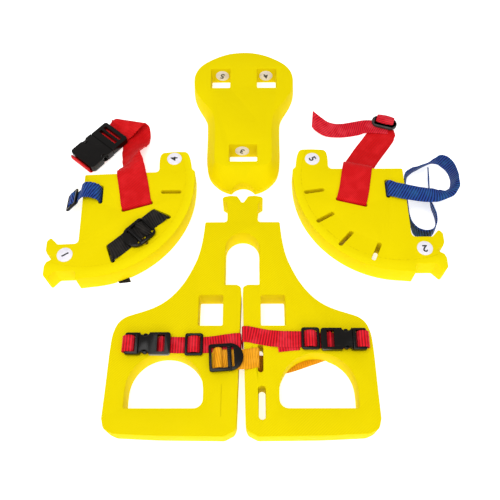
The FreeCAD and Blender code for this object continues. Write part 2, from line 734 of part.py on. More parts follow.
# ---------------------------------------------------------------- right wing straps
def right_belt():
    run = [(180.6, 91.0, 5, 0.966, -0.259, 0), (180.6, 91.0, panel_top - 1.5, 0.966, -0.259, 0),
           (181.0, 92.6, panel_top + 1.9, 0.966, -0.259, 0), (182.4, 97, panel_top + 2.4, 0.97, -0.24, 0),
           (187, 115, belt_lie, 0.975, -0.22, 0), (191.5, 138, belt_lie, 0.985, -0.18, 0),
           (195.5, 159, belt_lie + 0.4, 0.985, -0.17, 0), (197.5, 166.5, panel_top - 1, 0.98, -0.2, 0),
           (199.5, 172, 24, 0.95, -0.3, 0), (202.5, 179, 10, 0.9, -0.43, 0),
           (208, 190, 3.0, 0.84, -0.54, 0), (222, 212, belt_floor, 0.817, -0.576, 0),
           (238, 234.5, belt_floor, 0.817, -0.576, 0), (253, 256, belt_floor, 0.83, -0.56, 0),
           (263, 274, belt_floor, 0.9, -0.43, 0)]
    return ribbon(run, belt_width, belt, 2)


grey_lock_at = (259.5, 280.0)
grey_lock_turn = -17.0
grey_length = strap_width + 16.0
grey_width = 24.0
grey_thick = 6.0
grey_z = 3 * gap + belt + web


def belt_tail():
    low = 2 * gap + belt + web / 2
    run = [(266, 273, low, 0.1, 1, 0), (240, 275, low, 0.05, 1, 0), (222, 275, low, 0, 1, 0),
           (205, 271, 3.0, -0.05, 1, 0.1), (176, 267, 2.6, 0.02, 1, 0.08), (153, 269, 5, 0.15, 0.97, 0.2),
           (139, 277, 9, 0.3, 0.9, 0.3), (131.5, 287, 13, 0.45, 0.8, 0.4)]
    return ribbon(run, strap_width, web, 2)


def grey_saddle():
    """Belt webbing doubled over the far rail of the oval lock."""
    path = [(-5.0, 3.2), (-3.2, 7.0), (0, 9.2), (5.5, 9.8), (11, 9.0), (14.4, 6.2), (15.2, 2.6),
            (14.6, 1.2)]
    strip = profile_strip(path, strap_width, web)
    strip.rotate(V(0, 0, 0), V(0, 0, 1), 90)
    return placed(strip, grey_lock_at[0], grey_lock_at[1], grey_z, grey_lock_turn)


def right_blue_strap():
    """Strap that leaves the panel level and turns to stand on its edge in two loops beside it."""
    stand = strap_width / 2 + 1.0
    run = [(243.0, 116.6, 5, 0, -1, 0), (243.0, 116.6, panel_top - 1.2, 0, -1, 0),
           (244.6, 115.8, panel_top + 3, 0, -1, 0), (249, 114.2, panel_top + 4.2, 0.03, -1, 0),
           (259, 111.5, panel_top + 3.5, 0.05, -1, 0), (279, 107, panel_top + 3, 0.12, -0.99, 0),
           (297, 103.5, panel_top + 2.5, 0.1, -0.98, 0.02), (318, 102.5, panel_top + 1.5, 0.05, -0.97, 0.1),
           (340, 109, panel_top - 3, 0.3, -0.85, 0.42),
           (355, 121.5, stand + 13, 0.5, -0.42, 0.76), (362.5, 139, stand + 8.5, 0.5, -0.05, 0.86),
           (364.5, 156, stand + 5, 0.46, 0.12, 0.88), (362, 172, stand + 3, 0.4, 0.25, 0.88),
           (355, 184, stand + 1.6, 0.26, 0.32, 0.91), (345, 190.5, stand + 0.6, 0.1, 0.36, 0.93),
           (333, 188, stand, -0.02, 0.25, 0.96), (320, 180, stand, -0.05, 0.14, 0.98),
           (304, 172, stand, -0.08, 0.1, 0.99), (290, 164, stand, -0.14, 0.05, 0.98),
           (282, 152, stand, -0.22, 0, 0.97), (279.5, 131, stand, -0.27, 0, 0.96),
           (280, 109, stand, -0.28, 0, 0.96), (279.6, 81, stand, -0.28, 0, 0.96),
           (281, 61, stand, -0.22, 0, 0.97), (287, 47, stand, -0.1, 0, 0.99), (299, 40.5, stand, 0, 0, 1),
           (312, 43, stand, 0, 0, 1), (320, 54, stand, -0.08, 0, 1), (324, 70, stand, -0.14, 0, 0.99),
           (322, 86, stand, -0.2, 0, 0.98), (319, 99, stand, -0.27, 0, 0.96),
           (319.5, 120, stand, -0.29, 0, 0.96),
           (321, 140, stand, -0.29, 0, 0.96), (323, 156, stand, -0.29, 0, 0.96)]
    return ribbon(run, strap_width, web)


# ---------------------------------------------------------------- build
export("seat_panel", seat_panel())
export("back_panel", back_panel())
export("left_wing", left_wing())
export("right_wing", right_wing())

export("disc_back_left", wall_disc(left_slot_disc_x, tab_slot_y, tab_slot_length))
export("disc_back_right", wall_disc(right_slot_disc_x, tab_slot_y, tab_slot_length))
export("disc_back_neck", wall_disc(neck_slot_disc_x, neck_slot_y, neck_slot_length))
export("disc_left_tab", top_disc(*left_tab_disc_at))
export("disc_left_hook", top_disc(*left_hook_disc_at))
export("disc_right_tab", top_disc(*right_tab_disc_at))
export("disc_right_hook", top_disc(*right_hook_disc_at))

export("left_thigh_strap", left_thigh_strap())
export("left_socket", placed(socket(buckle_width, socket_length, buckle_thick),
                             left_mouth_x, left_chain_y, on_strap))
export("left_tongue", placed(tongue(buckle_width, tongue_length, prong_reach, buckle_thick),
                             left_mouth_x, left_chain_y, on_strap))
export("left_tongue_webbing", tongue_webbing(left_mouth_x, -1, left_chain_y))
export("left_glide", placed(tri_glide(glide_width), left_glide_x, left_chain_y, on_strap))
export("left_glide_webbing", placed(saddle(7.2, 5.0, thigh_width), left_glide_x, left_chain_y, on_strap))

export("right_thigh_strap", right_thigh_strap())
export("right_strap_tail", strap_tail())
export("right_socket", placed(socket(buckle_width, socket_length, buckle_thick),
                              right_mouth_x, right_chain_y, on_strap, 180))
export("right_tongue", placed(tongue(buckle_width, tongue_length, prong_reach, buckle_thick),
                              right_mouth_x, right_chain_y, on_strap, 180))
export("right_tongue_webbing", tongue_webbing(right_mouth_x, 1, right_chain_y))
export("right_glide", placed(tri_glide(glide_width), right_glide_x, right_glide_y, on_two))
export("right_glide_webbing", placed(saddle(7.2, 5.0, thigh_width), right_glide_x, right_glide_y, on_two))

export("orange_strap", orange_strap())
export("orange_lock", placed(ladder_lock(lock_length, lock_width, lock_thick),
                             lock_x, lock_y, on_two, lock_turn))
export("orange_lock_webbing", orange_saddle())

export("left_belt", left_belt())
export("big_tongue", placed(tongue(big_width, big_tongue, big_reach, big_thick, 2, 0.42, 1.0),
                            big_buckle_at[0], big_buckle_at[1], big_z, big_buckle_turn))
export("big_socket", placed(socket(big_width, big_socket, big_thick, big_cover),
                            big_buckle_at[0], big_buckle_at[1], big_z, big_buckle_turn))
export("big_socket_webbing", socket_webbing())
export("left_blue_strap", left_blue_strap())
export("blue_glide", on_blue(tri_glide(glide_width + strap_width - thigh_width)))
export("blue_glide_webbing", on_blue(saddle(7.2, 5.0, strap_width)))
export("left_black_strap", left_black_strap())
export("black_strap_tail", black_tail())
export("black_lock", placed(ladder_lock(lock_length, lock_width, lock_thick), black_lock_at[0],
                            black_lock_at[1], on_strap, black_lock_turn))
export("black_lock_webbing", black_saddle())

export("right_belt", right_belt())
export("right_belt_tail", belt_tail())
export("grey_lock", placed(oval_lock(grey_length, grey_width, grey_thick), grey_lock_at[0],
                           grey_lock_at[1], grey_z, grey_lock_turn))
export("grey_lock_webbing", grey_saddle())
export("right_blue_strap", right_blue_strap())
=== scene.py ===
import math

import bmesh
import bpy
from mathutils import Matrix, Vector


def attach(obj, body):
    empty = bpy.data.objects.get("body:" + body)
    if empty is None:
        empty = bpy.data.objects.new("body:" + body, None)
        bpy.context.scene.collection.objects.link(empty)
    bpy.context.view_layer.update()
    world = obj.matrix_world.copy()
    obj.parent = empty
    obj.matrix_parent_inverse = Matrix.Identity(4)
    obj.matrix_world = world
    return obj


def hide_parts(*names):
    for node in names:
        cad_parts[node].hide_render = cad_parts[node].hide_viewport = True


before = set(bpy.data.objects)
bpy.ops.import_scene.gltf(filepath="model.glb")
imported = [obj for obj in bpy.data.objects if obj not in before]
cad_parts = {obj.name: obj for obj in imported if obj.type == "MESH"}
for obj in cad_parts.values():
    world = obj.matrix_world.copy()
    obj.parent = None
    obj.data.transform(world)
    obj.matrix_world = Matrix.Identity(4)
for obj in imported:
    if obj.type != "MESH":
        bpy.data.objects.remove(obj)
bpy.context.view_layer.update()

mm = 0.001
neck_y = 72.0          # mm: the layout is drawn from a datum on the seat, the frame from its neck


# ------------------------------------------------------------------ camera and lamps
def aim_camera():
    """Stands in front of the seat's legs and above them, looking down at the four panels."""
    stand = (0.0203, -0.5161, 0.8972)
    yaw, pitch, roll = (math.radians(a) for a in (-1.03, 62.6, -1.09))
    ahead = Vector((math.sin(yaw) * math.cos(pitch), math.cos(yaw) * math.cos(pitch), -math.sin(pitch)))
    level = Vector((math.cos(yaw), -math.sin(yaw), 0))
    above = level.cross(ahead)
    side = level * math.cos(roll) + above * math.sin(roll)
    top = above * math.cos(roll) - level * math.sin(roll)
    data = bpy.data.cameras.new("camera")
    data.lens = 43.68
    data.sensor_width = 36
    camera = bpy.data.objects.new("camera", data)
    bpy.context.collection.objects.link(camera)
    camera.matrix_world = Matrix.Translation(stand) @ Matrix((side, top, -ahead)).transposed().to_4x4()
    bpy.context.scene.camera = camera


def soft_light(name, place, target, size, power):
    data = bpy.data.lights.new(name, "AREA")
    data.shape = "RECTANGLE"
    data.size, data.size_y = size
    data.energy = power
    lamp = bpy.data.objects.new(name, data)
    bpy.context.collection.objects.link(lamp)
    lamp.location = place
    lamp.rotation_euler = (Vector(target) - Vector(place)).to_track_quat("-Z", "Y").to_euler()


aim_camera()
bpy.context.scene.view_settings.view_transform = "Standard"


# ------------------------------------------------------------------ materials
def linear(colour):
    """An sRGB hex colour as the linear values that a socket takes."""
    parts = [int(colour[i:i + 2], 16) / 255 for i in (1, 3, 5)]
    return [c / 12.92 if c <= 0.04045 else ((c + 0.055) / 1.055) ** 2.4 for c in parts] + [1]


def add_node(tree, kind, inputs=None, **settings):
    """Adds a node with its settings; an input is a value, a socket, or a node whose result is meant."""
    node = tree.nodes.new(kind)
    for name, value in settings.items():
        setattr(node, name, value)
    for name, value in (inputs or {}).items():
        if isinstance(value, bpy.types.Node):
            value = value.outputs[2 if value.bl_idname == "ShaderNodeMix" else 0]
        if isinstance(value, bpy.types.NodeSocket):
            tree.links.new(value, node.inputs[name])
        else:
            node.inputs[name].default_value = value
    return node


def new_material(name):
    """An empty material: its tree and the one shader that reaches its output."""
    material = bpy.data.materials.new(name)
    material.use_nodes = True
    tree = material.node_tree
    tree.nodes.clear()
    shader = add_node(tree, "ShaderNodeBsdfPrincipled")
    add_node(tree, "ShaderNodeOutputMaterial", {"Surface": shader})
    return material, tree, shader


def finish(tree, shader, colour, roughness, height, strength, depth):
    """Gives a shader its colour, its roughness and a bump depth mm deep."""
    bump = add_node(tree, "ShaderNodeBump",
                    {"Strength": strength, "Distance": depth * mm, "Height": height})
    tree.links.new(colour.outputs[2], shader.inputs["Base Color"])
    tree.links.new(roughness.outputs[0], shader.inputs["Roughness"])
    tree.links.new(bump.outputs[0], shader.inputs["Normal"])


def foam_material(name, ribbed=False, bend=None, score=None):
    """Cross-linked closed-cell polyethylene foam, sawn from sheet: a satin skin with fine pores, and on
    the seat the slanted lines of an embossing roller, whose grooves are painted darker as painted shade.
    The walls are painted a lighter yellow than the faces that look up, as painted light. bend gives the
    middle, radius and strength of the line where a wing's rim starts to slope, which is dotted with
    small creases painted darker as painted shade; the strength is that of this painted shade, and past
    the line the sloping rim is painted lighter as painted light. score is a knife line along y, painted
    darker as painted shade: its x, and the y it runs between."""
    material, tree, shader = new_material(name)
    where = add_node(tree, "ShaderNodeTexCoord")
    coords = where.outputs["Object"]
    facing = add_node(tree, "ShaderNodeSeparateXYZ", {0: where.outputs["Normal"]}).outputs[2]
    facing = add_node(tree, "ShaderNodeMath", {0: facing}, operation="ABSOLUTE")
    flat = add_node(tree, "ShaderNodeMapRange", {0: facing, 1: 0.35, 2: 0.9})
    pores = add_node(tree, "ShaderNodeTexNoise",
                     {"Vector": coords, "Scale": 850, "Detail": 4, "Roughness": 0.65})
    patches = add_node(tree, "ShaderNodeTexNoise", {"Vector": coords, "Scale": 11, "Detail": 3})
    marks = add_node(tree, "ShaderNodeTexNoise",
                     {"Vector": coords, "Scale": 46, "Detail": 5, "Roughness": 0.7})
    # painted light: faces that stand upright get a lighter yellow than faces that look up, for the light
    # that falls on the walls
    top = add_node(tree, "ShaderNodeMix", {0: patches, 6: linear("#DCC600"), 7: linear("#E6D200")},
                   data_type="RGBA")
    wall = add_node(tree, "ShaderNodeMix", {0: patches, 6: linear("#DFC800"), 7: linear("#EAD700")},
                    data_type="RGBA")
    colour = add_node(tree, "ShaderNodeMix", {0: flat, 6: wall, 7: top}, data_type="RGBA")
    height = add_node(tree, "ShaderNodeMath", {0: pores, 1: 0.35}, operation="MULTIPLY")
    if ribbed:
        slant = math.radians(42)
        line_spacing = 3.0 * mm
        across = (-math.sin(slant), math.cos(slant), 0)
        along = add_node(tree, "ShaderNodeVectorMath", {0: coords, 1: across},
                         operation="DOT_PRODUCT").outputs[1]
        wave = add_node(tree, "ShaderNodeMath", {0: along, 1: 2 * math.pi / line_spacing},
                        operation="MULTIPLY")
        wave = add_node(tree, "ShaderNodeMath", {0: wave}, operation="SINE")
        line = add_node(tree, "ShaderNodeMapRange", {0: wave, 1: -0.2, 2: 1.0})
        line = add_node(tree, "ShaderNodeMath", {0: line, 1: flat}, operation="MULTIPLY")
        # painted shade: the emboss grooves are painted darker, towards #BFA800
        groove_shade = add_node(tree, "ShaderNodeMath", {0: line, 1: 0.3}, operation="MULTIPLY")
        colour = add_node(tree, "ShaderNodeMix", {0: groove_shade, 6: colour, 7: linear("#BFA800")},
                          data_type="RGBA")
        height = add_node(tree, "ShaderNodeMath", {0: line, 1: -0.8, 2: height},
                          operation="MULTIPLY_ADD")
    if bend:
        cx, cy, radius, depth = bend
        level = add_node(tree, "ShaderNodeVectorMath", {0: coords, 1: (1, 1, 0)}, operation="MULTIPLY")
        far = add_node(tree, "ShaderNodeVectorMath", {0: level, 1: (cx * mm, (cy - neck_y) * mm, 0)},
                       operation="DISTANCE").outputs[1]
        off = add_node(tree, "ShaderNodeMath", {0: far, 1: radius * mm}, operation="SUBTRACT")
        off = add_node(tree, "ShaderNodeMath", {0: off}, operation="ABSOLUTE")
        crease = add_node(tree, "ShaderNodeMapRange",
                          {0: off, 1: 0.3 * mm, 2: 1.1 * mm, 3: 1.0, 4: 0.0})
        spread = add_node(tree, "ShaderNodeTexNoise", {"Vector": coords, "Scale": 330, "Detail": 2})
        dots = add_node(tree, "ShaderNodeMapRange", {0: spread, 1: 0.44, 2: 0.56})
        crease = add_node(tree, "ShaderNodeMath", {0: crease, 1: dots}, operation="MULTIPLY")
        crease = add_node(tree, "ShaderNodeMath", {0: crease, 1: flat}, operation="MULTIPLY")
        # painted light: past the bend the sloping rim's upward faces are painted lighter, towards #E9D806
        rim = add_node(tree, "ShaderNodeMapRange",
                       {0: far, 1: (radius - 1) * mm, 2: (radius + 12) * mm, 4: 0.7})
        rim = add_node(tree, "ShaderNodeMath", {0: rim, 1: flat}, operation="MULTIPLY")
        colour = add_node(tree, "ShaderNodeMix", {0: rim, 6: colour, 7: linear("#E9D806")},
                          data_type="RGBA")
        # painted shade: the small creases along the bend are painted darker, towards #A68E00, as strongly
        # as depth sets
        groove_shade = add_node(tree, "ShaderNodeMath", {0: crease, 1: depth}, operation="MULTIPLY")
        colour = add_node(tree, "ShaderNodeMix", {0: groove_shade, 6: colour, 7: linear("#A68E00")},
                          data_type="RGBA")
        height = add_node(tree, "ShaderNodeMath", {0: crease, 1: -1.2, 2: height},
                          operation="MULTIPLY_ADD")
    if score:
        cut_x, low_y, high_y = score
        middle = (low_y + high_y) / 2 - neck_y
        half_long = (high_y - low_y) / 2
        fade = 2
        place = add_node(tree, "ShaderNodeSeparateXYZ", {0: coords})
        off = add_node(tree, "ShaderNodeMath", {0: place.outputs[0], 1: cut_x * mm}, operation="SUBTRACT")
        off = add_node(tree, "ShaderNodeMath", {0: off}, operation="ABSOLUTE")
        cut = add_node(tree, "ShaderNodeMapRange",
                       {0: off, 1: 0.25 * mm, 2: 0.9 * mm, 3: 1.0, 4: 0.0})
        reach = add_node(tree, "ShaderNodeMath", {0: place.outputs[1], 1: middle * mm},
                         operation="SUBTRACT")
        reach = add_node(tree, "ShaderNodeMath", {0: reach}, operation="ABSOLUTE")
        reach = add_node(tree, "ShaderNodeMapRange",
                         {0: reach, 1: half_long * mm, 2: (half_long - fade) * mm})
        cut = add_node(tree, "ShaderNodeMath", {0: cut, 1: reach}, operation="MULTIPLY")
        cut = add_node(tree, "ShaderNodeMath", {0: cut, 1: flat}, operation="MULTIPLY")
        # painted shade: the knife line is painted darker, towards #A08800
        groove_shade = add_node(tree, "ShaderNodeMath", {0: cut, 1: 0.45}, operation="MULTIPLY")
        colour = add_node(tree, "ShaderNodeMix", {0: groove_shade, 6: colour, 7: linear("#A08800")},
                          data_type="RGBA")
        height = add_node(tree, "ShaderNodeMath", {0: cut, 1: -1.2, 2: height},
                          operation="MULTIPLY_ADD")
    scuff = add_node(tree, "ShaderNodeMapRange", {0: marks, 1: 0.62, 2: 0.78, 4: 0.22})
    colour = add_node(tree, "ShaderNodeMix", {0: scuff, 6: colour, 7: linear("#C6AF08")},
                      data_type="RGBA")
    rough = add_node(tree, "ShaderNodeMapRange", {0: marks, 1: 0.3, 2: 0.8, 3: 0.58, 4: 0.76})
    finish(tree, shader, colour, rough, height, 0.35, 0.5)
    shader.inputs["IOR"].default_value = 1.5
    shader.inputs["Specular IOR Level"].default_value = 0.03
    return material


def webbing_material(name, face, shade, glint, rib, slant, relief):
    """Woven polyester webbing: cross ribs or a slanted twill, the threads crossing them, a soft sheen.
    rib is in mm, drawn twice as coarse as woven so that it shows; slant leans the ribs across the strap,
    relief is how strongly they shade."""
    material, tree, shader = new_material(name)
    thread = 1.3
    weave = add_node(tree, "ShaderNodeUVMap", uv_map="weave")
    coords = add_node(tree, "ShaderNodeTexCoord").outputs["Object"]
    place = add_node(tree, "ShaderNodeSeparateXYZ", {0: weave})
    leaning = add_node(tree, "ShaderNodeMath", {0: place.outputs[0], 1: slant, 2: place.outputs[1]},
                       operation="MULTIPLY_ADD")
    ribs = add_node(tree, "ShaderNodeMath", {0: leaning, 1: 2 * math.pi / (rib * mm)},
                    operation="MULTIPLY")
    ribs = add_node(tree, "ShaderNodeMath", {0: ribs}, operation="SINE")
    ends = add_node(tree, "ShaderNodeMath", {0: place.outputs[0], 1: 2 * math.pi / (thread * mm)},
                    operation="MULTIPLY")
    ends = add_node(tree, "ShaderNodeMath", {0: ends}, operation="SINE")
    fuzz = add_node(tree, "ShaderNodeTexNoise",
                    {"Vector": weave, "Scale": 2400, "Detail": 3, "Roughness": 0.6})
    uneven = add_node(tree, "ShaderNodeTexNoise", {"Vector": coords, "Scale": 60, "Detail": 3})
    height = add_node(tree, "ShaderNodeMath", {0: fuzz, 1: 0.5}, operation="MULTIPLY")
    height = add_node(tree, "ShaderNodeMath", {0: ends, 1: 0.2, 2: height}, operation="MULTIPLY_ADD")
    height = add_node(tree, "ShaderNodeMath", {0: ribs, 1: relief, 2: height}, operation="MULTIPLY_ADD")
    amount = add_node(tree, "ShaderNodeMapRange", {0: height, 1: -0.55, 2: 0.85})
    colour = add_node(tree, "ShaderNodeMix", {0: amount, 6: linear(shade), 7: linear(face)},
                      data_type="RGBA")
    shine = add_node(tree, "ShaderNodeMapRange", {0: uneven, 1: 0.45, 2: 0.7, 4: 0.35})
    colour = add_node(tree, "ShaderNodeMix", {0: shine, 6: colour, 7: linear(glint)},
                      data_type="RGBA")
    rough = add_node(tree, "ShaderNodeMapRange", {0: height, 1: -0.6, 2: 0.9, 3: 0.78, 4: 0.52})
    finish(tree, shader, colour, rough, height, 0.6, 0.35)
    shader.inputs["Sheen Weight"].default_value = 0.03
    shader.inputs["Sheen Roughness"].default_value = 0.4
    shader.inputs["Specular IOR Level"].default_value = 0.12
    return material


def moulded_material(name, face, worn, gloss):
    """Injection-moulded acetal: near black with a fine spark-eroded grain, shinier where it is rubbed,
    and a few hair scratches. gloss is its roughness on the rubbed places."""
    material, tree, shader = new_material(name)
    coords = add_node(tree, "ShaderNodeTexCoord").outputs["Object"]
    spark = add_node(tree, "ShaderNodeTexNoise",
                     {"Vector": coords, "Scale": 1500, "Detail": 2, "Roughness": 0.6})
    rubbed = add_node(tree, "ShaderNodeTexNoise",
                      {"Vector": coords, "Scale": 70, "Detail": 4, "Roughness": 0.6})
    drawn = add_node(tree, "ShaderNodeMapping", {"Vector": coords, "Scale": (40, 700, 300)})
    hairs = add_node(tree, "ShaderNodeTexNoise", {"Vector": drawn, "Scale": 1, "Detail": 2})
    scratch = add_node(tree, "ShaderNodeMapRange", {0: hairs, 1: 0.68, 2: 0.74, 4: 0.2})
    wear = add_node(tree, "ShaderNodeMapRange", {0: rubbed, 1: 0.35, 2: 0.75, 4: 0.5})
    colour = add_node(tree, "ShaderNodeMix", {0: wear, 6: linear(face), 7: linear(worn)},
                      data_type="RGBA")
    colour = add_node(tree, "ShaderNodeMix", {0: scratch, 6: colour, 7: linear("#4A4642")},
                      data_type="RGBA")
    rough = add_node(tree, "ShaderNodeMapRange",
                     {0: rubbed, 1: 0.3, 2: 0.75, 3: gloss + 0.12, 4: gloss})
    finish(tree, shader, colour, rough, spark, 0.15, 0.1)
    shader.inputs["IOR"].default_value = 1.48
    shader.inputs["Specular IOR Level"].default_value = 0.2
    return material


def disc_material():
    """Die-cut vinyl discs, white with a lilac cast, slightly mottled from handling."""
    material, tree, shader = new_material("vinyl_disc")
    coords = add_node(tree, "ShaderNodeTexCoord").outputs["Object"]
    soiled = add_node(tree, "ShaderNodeTexNoise",
                      {"Vector": coords, "Scale": 120, "Detail": 4, "Roughness": 0.6})
    fine = add_node(tree, "ShaderNodeTexNoise", {"Vector": coords, "Scale": 1800, "Detail": 2})
    stain = add_node(tree, "ShaderNodeMapRange", {0: soiled, 1: 0.35, 2: 0.75})
    colour = add_node(tree, "ShaderNodeMix", {0: stain, 6: linear("#E9E6EE"), 7: linear("#D6D1DC")},
                      data_type="RGBA")
    rough = add_node(tree, "ShaderNodeMapRange", {0: soiled, 1: 0.3, 2: 0.7, 3: 0.38, 4: 0.5})
    finish(tree, shader, colour, rough, fine, 0.1, 0.1)
    return material


def ink_material():
    """Screen-printed black ink, thin enough to break up a little."""
    material, tree, shader = new_material("printed_ink")
    coords = add_node(tree, "ShaderNodeTexCoord").outputs["Object"]
    thin = add_node(tree, "ShaderNodeTexNoise", {"Vector": coords, "Scale": 900, "Detail": 3})
    gone = add_node(tree, "ShaderNodeMapRange", {0: thin, 1: 0.5, 2: 0.8})
    colour = add_node(tree, "ShaderNodeMix", {0: gone, 6: linear("#0C0B0F"), 7: linear("#2A282F")},
                      data_type="RGBA")
    rough = add_node(tree, "ShaderNodeMapRange", {0: thin, 1: 0.3, 2: 0.8, 3: 0.4, 4: 0.55})
    finish(tree, shader, colour, rough, thin, 0.08, 0.05)
    return material


seat_foam = foam_material("embossed_foam", ribbed=True, score=(-28.5, -262, -214))
back_foam = foam_material("smooth_foam")
right_wing_foam = foam_material("right_wing_foam", bend=(256, 140, 157, 0.26))
left_wing_foam = foam_material("left_wing_foam", bend=(-253.8, 129.7, 157, 0.1))
red_rib = webbing_material("red_ribbed_webbing", "#E81224", "#7E030E", "#F04050", 4.0, 0.0, 0.65)
red_slant = webbing_material("red_slanted_webbing", "#E4162A", "#8C0816", "#F04A58", 4.2, 0.55, 0.65)
red_twill = webbing_material("red_twill_webbing", "#DE0A10", "#A00308", "#E8242A", 3.4, 0.85, 0.5)
blue_rib = webbing_material("blue_ribbed_webbing", "#264A9C", "#060C34", "#2C6E9C", 4.4, 0.35, 0.8)
orange_rib = webbing_material("orange_ribbed_webbing", "#F2A40E", "#BE7404", "#F6B436", 3.4, 0.15, 0.5)
black_rib = webbing_material("black_ribbed_webbing", "#221E1B", "#050404", "#34302C", 4.0, 0.2, 0.6)
black_acetal = moulded_material("black_acetal", "#080605", "#14100D", 0.11)
grey_acetal = moulded_material("grey_acetal", "#333332", "#4C4C4A", 0.16)
vinyl = disc_material()
ink = ink_material()


# ------------------------------------------------------------------ helpers for the pieces
def start_on(piece):
    """Leaves only this piece selected and active, in object mode."""
    if bpy.context.object and bpy.context.object.mode != "OBJECT":
        bpy.ops.object.mode_set(mode="OBJECT")
    bpy.ops.object.select_all(action="DESELECT")
    piece.select_set(True)
    bpy.context.view_layer.objects.active = piece


def apply_modifier(piece, kind, **settings):
    start_on(piece)
    modifier = piece.modifiers.new(kind.lower(), kind)
    for name, value in settings.items():
        setattr(modifier, name, value)
    bpy.ops.object.modifier_apply(modifier=modifier.name)


def settle(piece, name, material, body, slot, *nodes):
    """Names a piece, gives it its finish, hands it to its body and hides the CAD nodes it stands for."""
    piece.name = name
    piece.data.name = name
    piece.data.materials.clear()
    piece.data.materials.append(material)
    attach(piece, body)
    if nodes:
        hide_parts(*nodes)


def refined(node, name, edge, steps, angle=38):
    """A copy of a part's solid with its facets joined and its sharp edges eased."""
    piece = bpy.data.objects.new(name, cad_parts[node].data.copy())
    bpy.context.collection.objects.link(piece)
    start_on(piece)
    bpy.ops.object.mode_set(mode="EDIT")
    bpy.ops.mesh.select_all(action="SELECT")
    bpy.ops.mesh.remove_doubles(threshold=0.00001)
    bpy.ops.mesh.dissolve_limited(angle_limit=math.radians(0.6))
    bpy.ops.object.mode_set(mode="OBJECT")
    apply_modifier(piece, "BEVEL", width=edge * mm, segments=steps, limit_method="ANGLE",
                   angle_limit=math.radians(angle), use_clamp_overlap=False, miter_outer="MITER_ARC")
    start_on(piece)
    bpy.ops.object.shade_smooth_by_angle(angle=math.radians(32))
    return piece


def cut_away(piece, cutter):
    apply_modifier(piece, "BOOLEAN", operation="DIFFERENCE", object=cutter, solver="EXACT")
    bpy.data.objects.remove(cutter)


def cube(x0, x1, y0, y1, z0, z1):
    """A block given by its sides in mm, in the piece's own drawing."""
    middle = Vector((x0 + x1, y0 + y1, z0 + z1)) / 2 * mm
    bpy.ops.object.select_all(action="DESELECT")
    bpy.ops.mesh.primitive_cube_add(size=1, location=middle)
    piece = bpy.context.object
    piece.scale = ((x1 - x0) * mm, (y1 - y0) * mm, (z1 - z0) * mm)
    bpy.ops.object.transform_apply()
    return piece


def rod(x, y, z0, z1, radius, sides=40):
    """An upright round bar in mm, in the piece's own drawing."""
    bpy.ops.object.select_all(action="DESELECT")
    bpy.ops.mesh.primitive_cylinder_add(vertices=sides, radius=radius * mm, depth=(z1 - z0) * mm,
                                        location=(x * mm, y * mm, (z0 + z1) / 2 * mm))
    bpy.ops.object.transform_apply()
    return bpy.context.object


def rounded(piece, width, steps=3):
    apply_modifier(piece, "BEVEL", width=width * mm, segments=steps, limit_method="ANGLE",
                   angle_limit=math.radians(30))
    return piece


def joined(pieces):
    start_on(pieces[0])
    for other in pieces[1:]:
        other.select_set(True)
    if len(pieces) > 1:
        bpy.ops.object.join()
    piece = bpy.context.object
    bpy.ops.object.shade_smooth_by_angle(angle=math.radians(32))
    return piece


def put(piece, x, y, z, turn=0):
    """Carries a piece drawn flat at the origin to its place on the layout, in mm and degrees."""
    piece.data.transform(Matrix.Translation(Vector((x, y - neck_y, z)) * mm)
                         @ Matrix.Rotation(math.radians(turn), 4, "Z"))
    return piece


# ------------------------------------------------------------------ webbing
def smooth_run(stations, spacing=2.0):
    """Points along a curve through stations (x, y, z and the direction across), evenly spread. The length
    of the direction across scales the width, and a seventh value of 1 keeps it askew, as on a fold."""
    points = [Vector(s[:3]) for s in stations]
    sides = [Vector(s[3:6]) for s in stations]
    askew = [s[6] if len(s) > 6 else 0.0 for s in stations]
    points = [points[0] * 2 - points[1]] + points + [points[-1] * 2 - points[-2]]
    sides = [sides[0]] + sides + [sides[-1]]
    askew = [askew[0]] + askew + [askew[-1]]
    run = []
    for i in range(1, len(points) - 2):
        p0, p1, p2, p3 = points[i - 1:i + 3]
        t1 = math.sqrt((p1 - p0).length)
        t2 = t1 + math.sqrt((p2 - p1).length)
        t3 = t2 + math.sqrt((p3 - p2).length)
        count = max(2, round((p2 - p1).length / spacing))
        for k in range(count + (i == len(points) - 3)):
            f = k / count
            t = t1 + (t2 - t1) * f
            a1 = p0 * ((t1 - t) / t1) + p1 * (t / t1)
            a2 = p1 * ((t2 - t) / (t2 - t1)) + p2 * ((t - t1) / (t2 - t1))
            a3 = p2 * ((t3 - t) / (t3 - t2)) + p3 * ((t - t2) / (t3 - t2))
            b1 = a1 * ((t2 - t) / t2) + a2 * (t / t2)
            b2 = a2 * ((t3 - t) / (t3 - t1)) + a3 * ((t - t1) / (t3 - t1))
            ease = f * f * (3 - 2 * f)
            run.append((b1 * ((t2 - t) / (t2 - t1)) + b2 * ((t - t1) / (t2 - t1)),
                        sides[i].lerp(sides[i + 1], ease), askew[i] * (1 - ease) + askew[i + 1] * ease))
    return run


